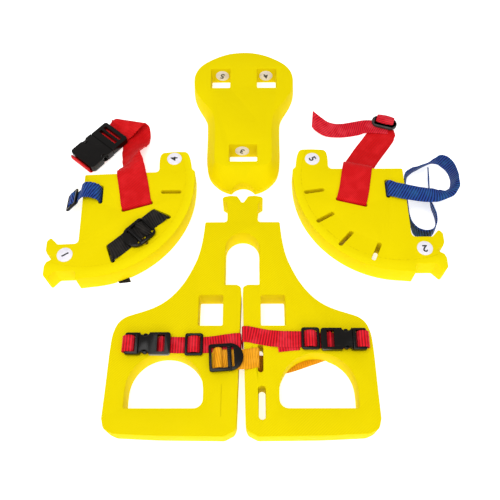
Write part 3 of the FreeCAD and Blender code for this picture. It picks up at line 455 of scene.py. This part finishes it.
def webbing(name, stations, width, thick, material, body, slot, nodes, crown=0.0):
    """A strap with thickness, soft rolled edges and a weave map in metres along and across it."""
    run = smooth_run(stations)
    across = 10
    half = width / 2
    lip = thick * 0.45
    spots = [(-half + lip + (width - 2 * lip) * k / across, -1) for k in range(across + 1)]
    spots += [(half, 0)] + [(s, 1) for s, _ in reversed(spots)] + [(-half, 0)]
    data = bpy.data.meshes.new(name)
    shape = bmesh.new()
    weave = shape.loops.layers.uv.new("weave")
    rings = []
    lengths = []
    gone = 0.0
    for i, (centre, side, skew) in enumerate(run):
        if i:
            gone += (centre - run[i - 1][0]).length
        ahead = (run[min(i + 1, len(run) - 1)][0] - run[max(i - 1, 0)][0]).normalized()
        square = (side - ahead * side.dot(ahead)).normalized()
        normal = ahead.cross(square)
        side = square * side.length * (1 - skew) + side * skew
        ring = []
        for s, level in spots:
            lift = level * thick / 2 - crown * (2 * s / width) ** 2
            place = centre + side * s + normal * lift
            ring.append(shape.verts.new((place - Vector((0, neck_y, 0))) * mm))
        rings.append(ring)
        lengths.append(gone * mm)
    count = len(spots)
    for i in range(len(rings) - 1):
        for k in range(count):
            n = (k + 1) % count
            face = shape.faces.new((rings[i][k], rings[i][n], rings[i + 1][n], rings[i + 1][k]))
            for loop, (j, m) in zip(face.loops, ((i, k), (i, n), (i + 1, n), (i + 1, k))):
                loop[weave].uv = (spots[m][0] * mm, lengths[j])
    for end, ring in ((0, rings[0][::-1]), (-1, rings[-1])):
        face = shape.faces.new(ring)
        for loop in face.loops:
            loop[weave].uv = (loop.vert.index * 0.0001, lengths[end])
    bmesh.ops.recalc_face_normals(shape, faces=shape.faces)
    shape.to_mesh(data)
    shape.free()
    piece = bpy.data.objects.new(name, data)
    bpy.context.collection.objects.link(piece)
    start_on(piece)
    bpy.ops.object.shade_smooth_by_angle(angle=math.radians(50))
    settle(piece, name, material, body, slot, *nodes)


def on_x(stations):
    """Stations (x, z) of a strap drawn in one upright plane, across along y."""
    return [(x, 0.0, z, 0.0, 1.0, 0.0) for x, z in stations]


def carried(stations, x, y, z, turn):
    """Turns and moves stations drawn at the origin to their place on the layout."""
    matrix = Matrix.Translation((x, y, z)) @ Matrix.Rotation(math.radians(turn), 4, "Z")
    return [tuple(matrix @ Vector(s[:3])) + tuple(matrix.to_3x3() @ Vector(s[3:6])) for s in stations]


# ------------------------------------------------------------------ sizes of the layout, mm
top = 38.0             # the panels' upper face
gap = 0.3              # clearance between pieces that lie on each other
web = 2.0              # thickness of the narrow webbing
belt = 2.5             # thickness of the wide webbing
thigh_width = 25.0
strap_width = 30.0
belt_width = 50.0
tail_width = 20.0
lie = 39.3             # middle of webbing that lies on a panel
second = 41.6          # middle of webbing that lies on other webbing
on_strap = 40.6        # underside of hardware that lies on one layer of webbing
on_two = 42.9          # and on two
belt_lie = 39.55       # middle of the wide webbing on a panel
belt_floor = 1.55      # and on the floor
foam_edge = 0.9


# ------------------------------------------------------------------ foam panels
def foam_panel(node, name, material, body):
    """A panel with its sawn edges eased; foam this dense fills its shape to the full."""
    piece = refined(node, name, foam_edge, 3)
    settle(piece, name, material, body, "foam", node)


foam_panel("seat_panel", "seat_foam", seat_foam, "seat")
foam_panel("back_panel", "back_foam", back_foam, "back")
foam_panel("left_wing", "left_wing_foam", left_wing_foam, "left_wing")
foam_panel("right_wing", "right_wing_foam", right_wing_foam, "right_wing")


# ------------------------------------------------------------------ number discs
disc_face = 0.62       # a disc's face above what it is stuck on
digit_height = 16.5


def numbered_disc(node, name, body, digit, x, y, turn, wall=None):
    """Vinyl disc with its number; wall gives the height of a disc stuck upright on a slot's far wall."""
    disc = refined(node, name, 0.12, 2)
    settle(disc, name, vinyl, body, "disc", node)
    bpy.ops.object.select_all(action="DESELECT")
    bpy.ops.object.text_add()
    text = bpy.context.object
    text.data.body = digit
    text.data.size = digit_height * mm
    text.data.align_x = "CENTER"
    text.data.align_y = "CENTER"
    text.data.extrude = 0.06 * mm
    text.data.offset = 0.48 * mm
    text.data.resolution_u = 6
    bpy.ops.object.convert(target="MESH")
    text = bpy.context.object
    flat = Matrix.Rotation(math.radians(turn), 4, "Z")
    if wall is None:
        place = Matrix.Translation(Vector((x, y - neck_y, top + disc_face)) * mm)
    else:
        place = (Matrix.Translation(Vector((x, y - neck_y - disc_face, wall)) * mm)
                 @ Matrix.Rotation(math.radians(90), 4, "X"))
    text.data.transform(place @ flat)
    settle(text, name + "_number", ink, body, "disc")


numbered_disc("disc_left_tab", "left_tab_disc", "left_wing", "4", -118.7, 179.4, 92)
numbered_disc("disc_left_hook", "left_hook_disc", "left_wing", "1", -283.0, -6.5, -58)
numbered_disc("disc_right_tab", "right_tab_disc", "right_wing", "5", 119.5, 178.0, -62)
numbered_disc("disc_right_hook", "right_hook_disc", "right_wing", "2", 291.0, 3.5, 180)
numbered_disc("disc_back_left", "back_left_disc", "back", "5", -41, 387, 165, 19)
numbered_disc("disc_back_right", "back_right_disc", "back", "4", 42, 387, 205, 19)
numbered_disc("disc_back_neck", "back_neck_disc", "back", "3", -2, 210, 160, 19)


# ------------------------------------------------------------------ thigh straps
def over_edge(edge_x, side, y):
    """Stations of a strap that comes up a panel's wall and bends over its upper edge."""
    rise = [(1.35, -34.0), (1.35, -1.4), (1.1, 0.7), (-0.3, 1.95), (-3.0, 1.6), (-6.0, 1.3)]
    return [(edge_x - side * out, y, top + up, 0, 1, 0) for out, up in rise]


def slit_edge(y):
    """Half the slit between the legs, which widens from their root towards the front."""
    root_half, widening, root_y, slit_long = 1.0, 5.6, -70.0, 210.0
    return root_half + widening * (root_y - y) / slit_long


def over_socket_bar(bar_x, side, y):
    """Stations of a strap that humps over the bar in a socket's window."""
    hump = [(-4.6, 0), (-2.6, 3.2), (0, 5.4), (2.6, 3.2), (4.6, 0), (8.0, 0)]
    return [(bar_x + side * along, y, lie + up, 0, 1, 0) for along, up in hump]


socket_long = 46.0
bar_share = 0.3        # how far along a socket, from its strap end, its bar stands
left_y, left_mouth = -157.0, -150.0
right_y, right_mouth = -150.5, 162.5
left_end = left_mouth + socket_long
right_end = right_mouth - socket_long
over_tail = second - 0.1
webbing("left_thigh_webbing",
        over_edge(-slit_edge(-151.0) + 0.25, -1, -151.0)
        + [(-20, -152.5, lie, 0, 1, 0), (-45, -156.2, lie, 0, 1, 0), (-58, left_y, lie, 0, 1, 0),
           (left_end + 2, left_y, lie, 0, 1, 0)]
        + over_socket_bar(left_end - bar_share * socket_long, -1, left_y),
        thigh_width, web, red_rib, "seat", "red_webbing", ["left_thigh_strap"])
webbing("right_thigh_webbing",
        over_edge(slit_edge(-128.0) - 0.05, 1, -140.0)
        + [(24, -143.2, lie, 0, 1, 0), (41, -146.4, lie, 0, 1, 0), (50, -147.9, over_tail, 0, 1, 0),
           (62, -148.7, over_tail, 0, 1, 0), (86, -149.0, over_tail, 0, 1, 0),
           (108, -149.5, over_tail, 0, 1, 0), (right_end - 1.5, right_y, lie + 0.1, 0, 1, 0)]
        + over_socket_bar(right_end + bar_share * socket_long, 1, right_y),
        thigh_width, web, red_rib, "seat", "red_webbing", ["right_thigh_strap"])
webbing("right_tail_webbing",
        [(53, -155.8, lie, 0.1, 1, 0), (68, -154.0, lie, 0.1, 1, 0), (85, -152.6, lie, 0.1, 1, 0)],
        thigh_width, web, red_rib, "seat", "red_webbing", ["right_strap_tail"])


def tongue_loop(name, mouth_x, side, y, body, node):
    """The strap end that turns round a tongue's outer bar and lies back on itself."""
    tongue_long = 21.0
    far = mouth_x + side * tongue_long
    path = [(mouth_x - side * 22, lie), (far - side * 3, lie), (far + side * 1.2, lie + 0.6),
            (far + side * 3.2, lie + 3.0), (far + side * 3.2, lie + 6.5), (far + side * 1.0, lie + 9.0),
            (far - side * 4.5, lie + 10.5), (far - side * 9.2, lie + 9.8), (far - side * 12.2, lie + 7.6),
            (far - side * 12.8, lie + 4.6)]
    webbing(name, [(x, y, z, 0, 1, 0) for x, z in path], thigh_width, web, red_rib, body,
            "red_webbing", [node])


tongue_loop("left_tongue_loop", left_mouth, -1, left_y, "left_tongue", "left_tongue_webbing")
tongue_loop("right_tongue_loop", right_mouth, 1, right_y, "right_tongue", "right_tongue_webbing")


def bar_loop(half_span, height):
    """Stations of the short hump of webbing over a frame's middle bar, drawn at the origin."""
    return on_x([(-half_span, 1.0), (-half_span * 0.8, height * 0.62), (-half_span * 0.45, height * 0.95),
                 (0, height), (half_span * 0.45, height * 0.95), (half_span * 0.8, height * 0.62),
                 (half_span, 1.0)])


glide_loop = bar_loop(7.2, 5.0)
lock_bar = -11.5       # the middle of a ladder lock's bar, along its drawing
lock_loop = carried(bar_loop(5.3, 5.4), lock_bar, 0, 0, 0)
webbing("left_glide_loop", carried(glide_loop, -70, left_y, on_strap, 0), thigh_width, web, red_rib,
        "left_glide", "red_webbing", ["left_glide_webbing"])
webbing("right_glide_loop", carried(glide_loop, 101.5, -149, on_two, 0), thigh_width, web, red_rib,
        "right_glide", "red_webbing", ["right_glide_webbing"])


# ------------------------------------------------------------------ orange strap
slot_edge = 24.0       # the wall of the leg's slot that the strap bends over
slot_y = -176.0
orange_lock_at = (-22, -177.5, on_two, 4)
webbing("orange_webbing",
        [(x, y, gap + 1, -0.33, 0.94, 0) for x, y in ((148, -146), (100, -163), (64, -174.5), (40, -176.5))]
        + [(slot_edge + 3.6, slot_y, gap + 1.3, -0.05, 1, 0), (slot_edge + 1.5, slot_y, gap + 3.6, 0, 1, 0),
           (slot_edge + 1.35, slot_y, top - 1.4, 0, 1, 0), (slot_edge + 1.1, slot_y, top + 0.7, 0, 1, 0),
           (slot_edge - 0.3, slot_y, top + 1.95, 0, 1, 0), (slot_edge - 4, slot_y, lie + 0.4, 0, 1, 0),
           (12, -178, lie + 0.8, 0, 1, 0), (3, -179.4, second, 0, 1, 0),
           (-42, -179.6, second, 0.05, 1, 0)],
        strap_width, web, orange_rib, "seat", "orange_webbing", ["orange_strap"])
webbing("orange_lock_loop", carried(lock_loop, *orange_lock_at), strap_width, web, orange_rib,
        "orange_lock", "orange_webbing", ["orange_lock_webbing"])


# ------------------------------------------------------------------ left wing straps
webbing("left_belt_webbing",
        [(-175.4, 84.2, 5, 0.954, 0.3, 0), (-175.4, 84.2, 36.5, 0.954, 0.3, 0),
         (-175.8, 85.6, 39.9, 0.954, 0.3, 0), (-177.5, 90, 40.4, 0.96, 0.28, 0),
         (-181.5, 110, belt_lie, 0.97, 0.25, 0), (-186.5, 133, belt_lie, 0.97, 0.23, 0),
         (-190.5, 150, belt_lie + 0.5, 0.97, 0.2, 0), (-192, 158, 39.4, 0.96, 0.18, 0.06),
         (-193.5, 168, 37, 0.9, 0.14, 0.36), (-195, 184, 30.5, 0.66, 0.08, 0.74),
         (-195.8, 203, 20.8, 0.8, 0.05, 0.55), (-196, 222, 10.6, 0.95, 0.03, 0.28),
         (-195.5, 238, 4.6, 0.99, 0.03, 0.08), (-196, 254, belt_floor + 0.4, 1, 0, 0),
         (-198, 267, belt_floor + 0.9, 1, -0.05, 0), (-201, 277, 5.5, 1.02, -0.14, 0, 0.6),
         (-204, 281, 11.5, 1.06, -0.19, 0, 1), (-208, 279.5, 16.8, 1.1, -0.22, 0, 1),
         (-213.5, 275, 17.6, 1.1, -0.26, 0, 1), (-220, 269.5, 14.8, 1.0, -0.42, 0, 0.7),
         (-228.6, 263.6, 8.6, 0.8, -0.6, 0, 0.2), (-233.5, 259, 6.4, 0.766, -0.643, 0),
         (-241, 250.2, 6, 0.766, -0.643, 0), (-248.4, 241.5, 6, 0.766, -0.643, 0)],
        belt_width, belt, red_twill, "left_wing", "red_webbing", ["left_belt"])
buckle_x, buckle_y, buckle_turn = -256.2, 232.2, 230
big_place = (buckle_x, buckle_y, 3.1, buckle_turn)
webbing("big_buckle_loop",
        carried(on_x([(10, belt_floor), (50.5, belt_floor), (52.6, 2.75), (53.8, 5.75), (53.6, 10.05),
                      (52.4, 13.05)]), buckle_x, buckle_y, 0, buckle_turn),
        belt_width - 1, belt, red_twill, "big_socket", "red_webbing", ["big_socket_webbing"])
blue_run = [(-239.4, 107.8, 5, 0, 1, 0), (-239.4, 107.8, 36.8, 0, 1, 0), (-241.0, 108.2, 41.4, 0, 1, 0),
            (-244.4, 109, 45.4, 0, 1, 0), (-247.2, 109.6, 45.4, 0.02, 1, 0), (-250, 110.2, 47.8, 0, 1, 0),
            (-253, 110.6, 47.2, 0.02, 1, 0), (-256, 111, 48.8, 0, 1, 0), (-259, 111.2, 47.6, 0.04, 1, 0),
            (-262.4, 111.2, 48.2, 0.04, 1, 0), (-266.5, 110.8, 46, 0.06, 1, 0),
            (-271.2, 109.8, 41.2, 0.12, 0.98, 0.02), (-273.6, 109.4, 36.2, 0.2, 0.97, 0.03),
            (-276.6, 108.8, 31, 0.25, 0.96, 0.05), (-287.5, 105.2, 21, 0.25, 0.96, 0.05),
            (-296.5, 102.2, 12.4, 0.25, 0.96, 0.05)]
webbing("left_blue_webbing", blue_run, strap_width, web, blue_rib, "left_wing", "blue_webbing",
        ["left_blue_strap"])


def on_blue():
    """Matrix, in mm on the layout, that lays a flat drawing on the hanging end of the blue strap."""
    first, middle, last = (Vector(s[:3]) for s in blue_run[-3:])
    ahead = (last - first).normalized()
    across = Vector(blue_run[-2][3:])
    across = (across - ahead * across.dot(ahead)).normalized()
    outward = ahead.cross(across)
    if outward.x > 0:
        outward, across = -outward, -across
    middle = middle + outward * (web / 2 + 2 * gap)
    return Matrix((ahead, across, outward)).transposed().to_4x4(), middle


turned, foot = on_blue()
webbing("blue_glide_loop",
        [tuple(turned @ Vector(s[:3]) + foot) + tuple(turned.to_3x3() @ Vector(s[3:])) for s in glide_loop],
        strap_width, web, blue_rib, "blue_glide", "blue_webbing", ["blue_glide_webbing"])


def left_ray(x, y, turn):
    """Where a slot drawn from the left wing's square corner lies, and the direction across its strap."""
    corner_x, corner_y, lean = -270, 147, math.radians(2.4)
    across = math.pi + lean - math.radians(turn)
    return (corner_x + x * math.cos(lean) - y * math.sin(lean),
            corner_y + x * math.sin(lean) + y * math.cos(lean), -math.cos(across), -math.sin(across))


black_lock_at = (-168.5, 28.5, on_strap, 226)
x0, y0, a0, b0 = left_ray(53.6, -153.4, 71.8)
x1, y1, a1, b1 = left_ray(132.6, -83.6, 28.0)
webbing("left_black_webbing",
        [(x0, y0, 3.2, a0, b0, 0), (x0, y0, top - 1.4, a0, b0, 0),
         (x0 + 0.9, y0 + 0.5, top + 1.2, a0, b0, 0),
         (x0 + 4, y0 + 3, lie + 1.0, a0 + 0.12, b0 + 0.06, 0), (x0 + 12, y0 + 11, lie, 0.64, -0.77, 0),
         ((x0 + x1) / 2, (y0 + y1) / 2, lie, 0.7, -0.71, 0), (x1 - 14, y1 - 12, lie, 0.8, -0.6, 0),
         (x1 - 3.8, y1 - 4.2, lie + 1.0, 0.88, -0.48, 0), (x1 - 0.5, y1 - 0.9, top + 1.2, a1, b1, 0),
         (x1, y1, top - 1.4, a1, b1, 0), (x1, y1, 8, a1, b1, 0)],
        strap_width, web, black_rib, "left_wing", "black_webbing", ["left_black_strap"])
webbing("black_tail_webbing",
        [(-209, 0, gap + 1, 0.9, 0.4, 0), (-199, -21, gap + 1, 0.9, 0.4, 0),
         (-190.5, -38.5, gap + 1, 0.95, 0.12, 0, 1)],
        tail_width, web, black_rib, "left_wing", "black_webbing", ["black_strap_tail"])
webbing("black_lock_loop", carried(lock_loop, *black_lock_at), strap_width, web, black_rib,
        "black_lock", "black_webbing", ["black_lock_webbing"])


# ------------------------------------------------------------------ right wing straps
webbing("right_belt_webbing",
        [(180.6, 91.0, 5, 0.966, -0.259, 0), (180.6, 91.0, 36.5, 0.966, -0.259, 0),
         (181.0, 92.6, 39.9, 0.966, -0.259, 0), (182.4, 97, 40.4, 0.97, -0.24, 0),
         (187, 115, belt_lie, 0.975, -0.22, 0), (191.5, 138, belt_lie, 0.985, -0.18, 0),
         (195.5, 159, belt_lie + 0.4, 0.985, -0.17, 0), (197.5, 166.5, 37, 0.98, -0.2, 0),
         (199.5, 172, 24, 0.95, -0.3, 0), (202.5, 179, 10, 0.9, -0.43, 0),
         (208, 190, 3.0, 0.84, -0.54, 0), (222, 212, belt_floor, 0.817, -0.576, 0),
         (238, 234.5, belt_floor, 0.817, -0.576, 0), (252, 255, belt_floor, 0.83, -0.56, 0),
         (259, 266, belt_floor, 0.8, -0.4, 0), (263, 274, belt_floor, 0.6, -0.28, 0)],
        belt_width, belt, red_twill, "right_wing", "red_webbing", ["right_belt"])
low = 2 * gap + belt + web / 2      # middle of the tail where it lies on the belt
webbing("right_belt_tail_webbing",
        [(266, 273, low, 0.1, 1, 0), (240, 275, low, 0.05, 1, 0), (222, 275, low, 0, 1, 0),
         (205, 271, 3.0, -0.05, 1, 0.1), (176, 267, 2.6, 0.02, 1, 0.08), (153, 269, 5, 0.15, 0.97, 0.2),
         (138, 276.5, 10, 0.16, 0.94, 0.3, 0.5), (126.5, 285, 15, 0.08, 0.98, 0.36, 1)],
        strap_width, web, red_slant, "right_wing", "red_webbing", ["right_belt_tail"])
grey_loop = on_x([(-5.0, 3.2), (-3.2, 7.0), (0, 9.2), (5.5, 9.8), (11, 9.0), (14.4, 6.2), (15.2, 2.6),
                  (14.6, 1.2)])
webbing("grey_lock_loop", carried(grey_loop, 260, 280, 5.4, 73), strap_width + 2, web, red_slant,
        "grey_lock", "red_webbing", ["grey_lock_webbing"], crown=1.6)
webbing("right_blue_webbing",
        [(243.0, 116.6, 5, 0, -1, 0), (243.0, 116.6, 36.8, 0, -1, 0), (244.6, 115.8, 41.0, 0, -1, 0),
         (249, 114.2, 42.2, 0.03, -1, 0), (259, 111.5, 41.5, 0.05, -1, 0),
         (279, 107, 41, 0.12, -0.99, 0), (297, 103.5, 40.5, 0.1, -0.98, 0.02),
         (318, 102.5, 39.5, 0.05, -0.97, 0.1), (340, 109, 35, 0.25, -0.82, 0.5),
         (355, 121.5, 29, 0.38, -0.42, 0.82), (362.5, 139, 24.5, 0.22, -0.08, 0.96),
         (364.5, 156, 21, 0.14, 0.02, 0.98), (362, 172, 19, 0.12, 0.08, 0.98),
         (355, 184, 17.6, 0.1, 0.1, 0.98), (345, 190.5, 16.6, 0.1, -0.06, 0.98),
         (333, 188, 16, 0.12, -0.26, 0.95), (320, 180, 16, 0.16, -0.32, 0.92),
         (304, 172, 16, 0.12, -0.26, 0.95), (290, 164, 16, -0.02, -0.12, 0.98),
         (282, 152, 16, -0.24, 0, 0.97), (279.5, 131, 16, -0.28, 0, 0.96),
         (280, 109, 16, -0.29, 0, 0.96), (279.6, 81, 16, -0.29, 0, 0.96),
         (281, 61, 16, -0.24, 0, 0.97), (287, 47, 16, -0.1, 0, 0.99), (299, 40.5, 16, 0, 0, 1),
         (312, 43, 16, 0, 0, 1), (320, 54, 16, -0.1, 0, 0.99), (324, 70, 16, -0.2, 0, 0.98),
         (322, 86, 16, -0.26, 0, 0.97), (319, 99, 16, -0.29, 0, 0.96), (319.5, 120, 16, -0.29, 0, 0.96),
         (321, 140, 16, -0.29, 0, 0.96), (323.5, 165, 16, -0.29, 0, 0.96)],
        strap_width, web, blue_rib, "right_wing", "blue_webbing", ["right_blue_strap"])


# ------------------------------------------------------------------ hardware
def moulded(node, name, body, edge, material=black_acetal, slot="black_plastic"):
    """A part's own solid with its moulded edges eased."""
    settle(refined(node, name, edge, 3, 50), name, material, body, slot, node)


def ease_uprights(piece, radius, steps=5, choose=lambda edge: True):
    """Rounds a block's upright corners before its other edges are eased."""
    start_on(piece)
    bpy.ops.object.mode_set(mode="EDIT")
    bpy.ops.mesh.select_mode(type="EDGE")
    shape = bmesh.from_edit_mesh(piece.data)
    for edge in shape.edges:
        a, b = (v.co for v in edge.verts)
        edge.select_set(abs(a.z - b.z) > 0.9 * (a - b).length and choose(edge))
    bmesh.update_edit_mesh(piece.data)
    bpy.ops.mesh.bevel(offset=radius * mm, segments=steps, profile=0.5, affect="EDGES")
    bpy.ops.object.mode_set(mode="OBJECT")
    return piece


side_rail = 3.6        # wall beside a buckle's strap window
wall_share = 0.17      # a buckle's wall as a share of its thickness


def buckle_body(width, length, thick, bite, bite_radius, inset, window, cover):
    """Female half of a side-release buckle, mouth at x = 0: a shell with a release opening bitten out of
    each side, a raised rim round it, and a strap window. With a cover the window stays closed above, and
    a leaning ring stands in each opening in place of the rim."""
    half = width / 2
    wall = wall_share * thick
    body = ease_uprights(cube(0, length, -half, half, 0, thick), 0.12 * width,
                         choose=lambda edge: edge.verts[0].co.x > 0.5 * length * mm)
    for side in (-1, 1):
        cut_away(body, rod(bite, side * (half + inset * bite_radius), -1, thick + 1, bite_radius))
    rounded(body, 0.16 * thick, 4)
    cut_away(body, cube(-1, 0.52 * length, -half + 2, half - 2, wall, thick - wall))
    ceiling = thick - cover if cover else thick + 1
    cut_away(body, cube(window[0], window[1], -half + side_rail, half - side_rail, -1, ceiling))
    parts = [body]
    for side in (-1, 1):
        bpy.ops.object.select_all(action="DESELECT")
        if cover:
            bpy.ops.mesh.primitive_torus_add(
                location=(bite * mm, side * (half - 2.6) * mm, 0.74 * thick * mm),
                rotation=(-side * math.radians(42), 0, 0), major_radius=0.72 * bite_radius * mm,
                minor_radius=1.5 * mm, major_segments=48, minor_segments=12)
            bpy.ops.object.transform_apply()
            parts.append(bpy.context.object)
            continue
        bpy.ops.mesh.primitive_torus_add(
            location=(bite * mm, side * (half + inset * bite_radius) * mm, (thick - 0.45) * mm),
            major_radius=(bite_radius + 0.8) * mm, minor_radius=0.75 * mm, major_segments=48,
            minor_segments=10)
        bpy.ops.object.transform_apply()
        rim = bpy.context.object
        start_on(rim)
        bpy.ops.object.mode_set(mode="EDIT")
        bpy.ops.mesh.select_all(action="SELECT")
        bpy.ops.mesh.bisect(plane_co=(0, side * (half - 0.6) * mm, 0), plane_no=(0, side, 0),
                            use_fill=True, clear_outer=True)
        bpy.ops.object.mode_set(mode="OBJECT")
        parts.append(rim)
    return joined(parts)


def buckle_tongue(width, length, reach, thick, slots, low, high):
    """Male half: a strap frame behind the mouth, two sprung arms with rounded buttons, and a guide."""
    half = width / 2
    wall = wall_share * thick
    body = ease_uprights(cube(-length, -0.6, -half, half, 0, thick), 0.09 * width,
                         choose=lambda edge: edge.verts[0].co.x < -0.5 * length * mm)
    rounded(body, 0.15 * thick, 4)
    for x0, x1, reach_y in slots:
        cut_away(body, ease_uprights(cube(x0, x1, -reach_y, reach_y, -1, thick + 1), 0.9, 3))
    cut_away(body, cube(-length - 1, slots[-1][1], -half + side_rail, half - side_rail, -1, low))
    if high < thick:
        cut_away(body, cube(-length - 1, slots[-1][1], -half + side_rail, half - side_rail,
                            high, thick + 1))
    z0, z1 = wall + 0.35, thick - wall - 0.35
    guide = rounded(cube(-2, 0.85 * reach, -0.1 * width, 0.1 * width, z0, z1), 0.5, 2)
    parts = [body, guide]
    for side in (-1, 1):
        near, far = sorted((side * 0.3 * width, side * (half - 2.6)))
        arm = cube(-2, 0.95 * reach, near, far, z0, z1)
        start_on(arm)
        bpy.ops.object.mode_set(mode="EDIT")
        bpy.ops.mesh.select_mode(type="VERT")
        shape = bmesh.from_edit_mesh(arm.data)
        for vert in shape.verts:
            vert.select_set(vert.co.x > 0)
        bmesh.update_edit_mesh(arm.data)
        bpy.ops.transform.translate(value=(0, -side * 0.05 * width * mm, 0))
        bpy.ops.object.mode_set(mode="OBJECT")
        rounded(arm, 0.9, 3)
        button = rod(0.42 * reach, side * (half - 0.14 * width), z0, z1, 0.115 * width, 32)
        rounded(button, 0.9, 3)
        parts += [arm, button]
    return joined(parts)


def ladder_frame(corner):
    """Ladder lock: a strap frame, a bar in it, a ridged sill the webbing grips on, and a round nose."""
    frame_part = ease_uprights(cube(-25, 9, -20.5, 20.5, 0, 5), corner,
                               choose=lambda edge: edge.verts[0].co.x < 0)
    nose = rod(4.5, 0, 0, 5, 20.5, 72)
    cut_away(nose, cube(-30, 7.5, -30, 30, -1, 6))
    rounded(frame_part, 1.0, 3)
    rounded(nose, 1.2, 3)
    cut_away(frame_part, ease_uprights(cube(-21.2, 2, -15.8, 15.8, -1, 6), 1.5, 3))
    for part in (frame_part, nose):
        cut_away(part, ease_uprights(cube(8, 11.5, -15, 15, -1, 6), 0.8, 3))
    bar = rounded(cube(-13.8, -9.2, -17, 17, 0.3, 3.1), 0.8, 3)
    sill = rounded(cube(2.6, 7.4, -16, 16, 3.6, 6.0), 0.7, 3)
    ridge = rounded(cube(2.4, 7.6, -15.2, -13.8, 5.4, 6.7), 0.4, 2)
    parts = [frame_part, nose, bar, sill, ridge]
    ridge_spacing = 2.9
    for k in range(1, 11):
        copy = ridge.copy()
        copy.data = ridge.data.copy()
        copy.data.transform(Matrix.Translation((0, k * ridge_spacing * mm, 0)))
        bpy.context.collection.objects.link(copy)
        parts.append(copy)
    return joined(parts)


def hardware(piece, name, body, node, place):
    settle(put(piece, *place), name, black_acetal, body, "black_plastic", node)


small_body = dict(width=33, length=socket_long, thick=9, bite=8.0, bite_radius=7.5, inset=0.25,
                  window=(26.7, 37.7), cover=0)
small_tongue = dict(width=33, length=21, reach=21, thick=9, slots=[(-15.5, -5.4, 12.9)], low=2.7, high=6.3)
big_body = dict(width=58, length=50, thick=14, bite=18.0, bite_radius=8.5, inset=0.7, window=(29, 41),
                cover=3)
big_tongue = dict(width=58, length=38, reach=24, thick=14, slots=[(-30, -24, 21), (-19.5, -13.5, 21)],
                  low=5.9, high=14)
left_place = (left_mouth, left_y, on_strap)
right_place = (right_mouth, right_y, on_strap, 180)
hardware(buckle_body(**small_body), "left_buckle_body", "seat", "left_socket", left_place)
hardware(buckle_body(**small_body), "right_buckle_body", "seat", "right_socket", right_place)
hardware(buckle_tongue(**small_tongue), "left_buckle_tongue", "left_tongue", "left_tongue", left_place)
hardware(buckle_tongue(**small_tongue), "right_buckle_tongue", "right_tongue", "right_tongue", right_place)
hardware(buckle_body(**big_body), "big_buckle_body", "big_socket", "big_socket", big_place)
hardware(buckle_tongue(**big_tongue), "big_buckle_tongue", "left_wing", "big_tongue", big_place)
moulded("left_glide", "left_glide_frame", "left_glide", 1.3)
moulded("right_glide", "right_glide_frame", "right_glide", 1.3)
hardware(ladder_frame(3.5), "orange_lock_frame", "orange_lock", "orange_lock", orange_lock_at)
moulded("blue_glide", "blue_glide_frame", "blue_glide", 1.3)
hardware(ladder_frame(9), "black_lock_frame", "black_lock", "black_lock", black_lock_at)
moulded("grey_lock", "grey_lock_frame", "grey_lock", 1.4, grey_acetal, "grey_plastic")


# ------------------------------------------------------------------ floor and soft light
def pale_floor():
    """White card, just below the lowest strap, lit from within a little so that shadows stay faint."""
    bpy.ops.object.select_all(action="DESELECT")
    bpy.ops.mesh.primitive_plane_add(size=60, location=(0, 0, -0.4 * mm))
    floor = bpy.context.object
    floor.name = "floor"
    material, _, shader = new_material("white_card")
    shader.inputs["Base Color"].default_value = linear("#FFFFFF")
    shader.inputs["Roughness"].default_value = 0.9
    shader.inputs["Specular IOR Level"].default_value = 0.1
    shader.inputs["Emission Color"].default_value = linear("#FFFFFF")
    shader.inputs["Emission Strength"].default_value = 0.55
    floor.data.materials.append(material)


pale_floor()
world = bpy.data.worlds.new("studio")
world.use_nodes = True
world.node_tree.nodes["Background"].inputs["Color"].default_value = linear("#FFFFFF")
world.node_tree.nodes["Background"].inputs["Strength"].default_value = 0.62
bpy.context.scene.world = world
soft_light("overhead_softbox", (-0.35, -0.4, 2.2), (0, 0.1, 0), (1.8, 1.4), 29)
soft_light("front_softbox", (0.5, -2.0, 1.2), (0, 0, 0), (2.2, 1.2), 13)
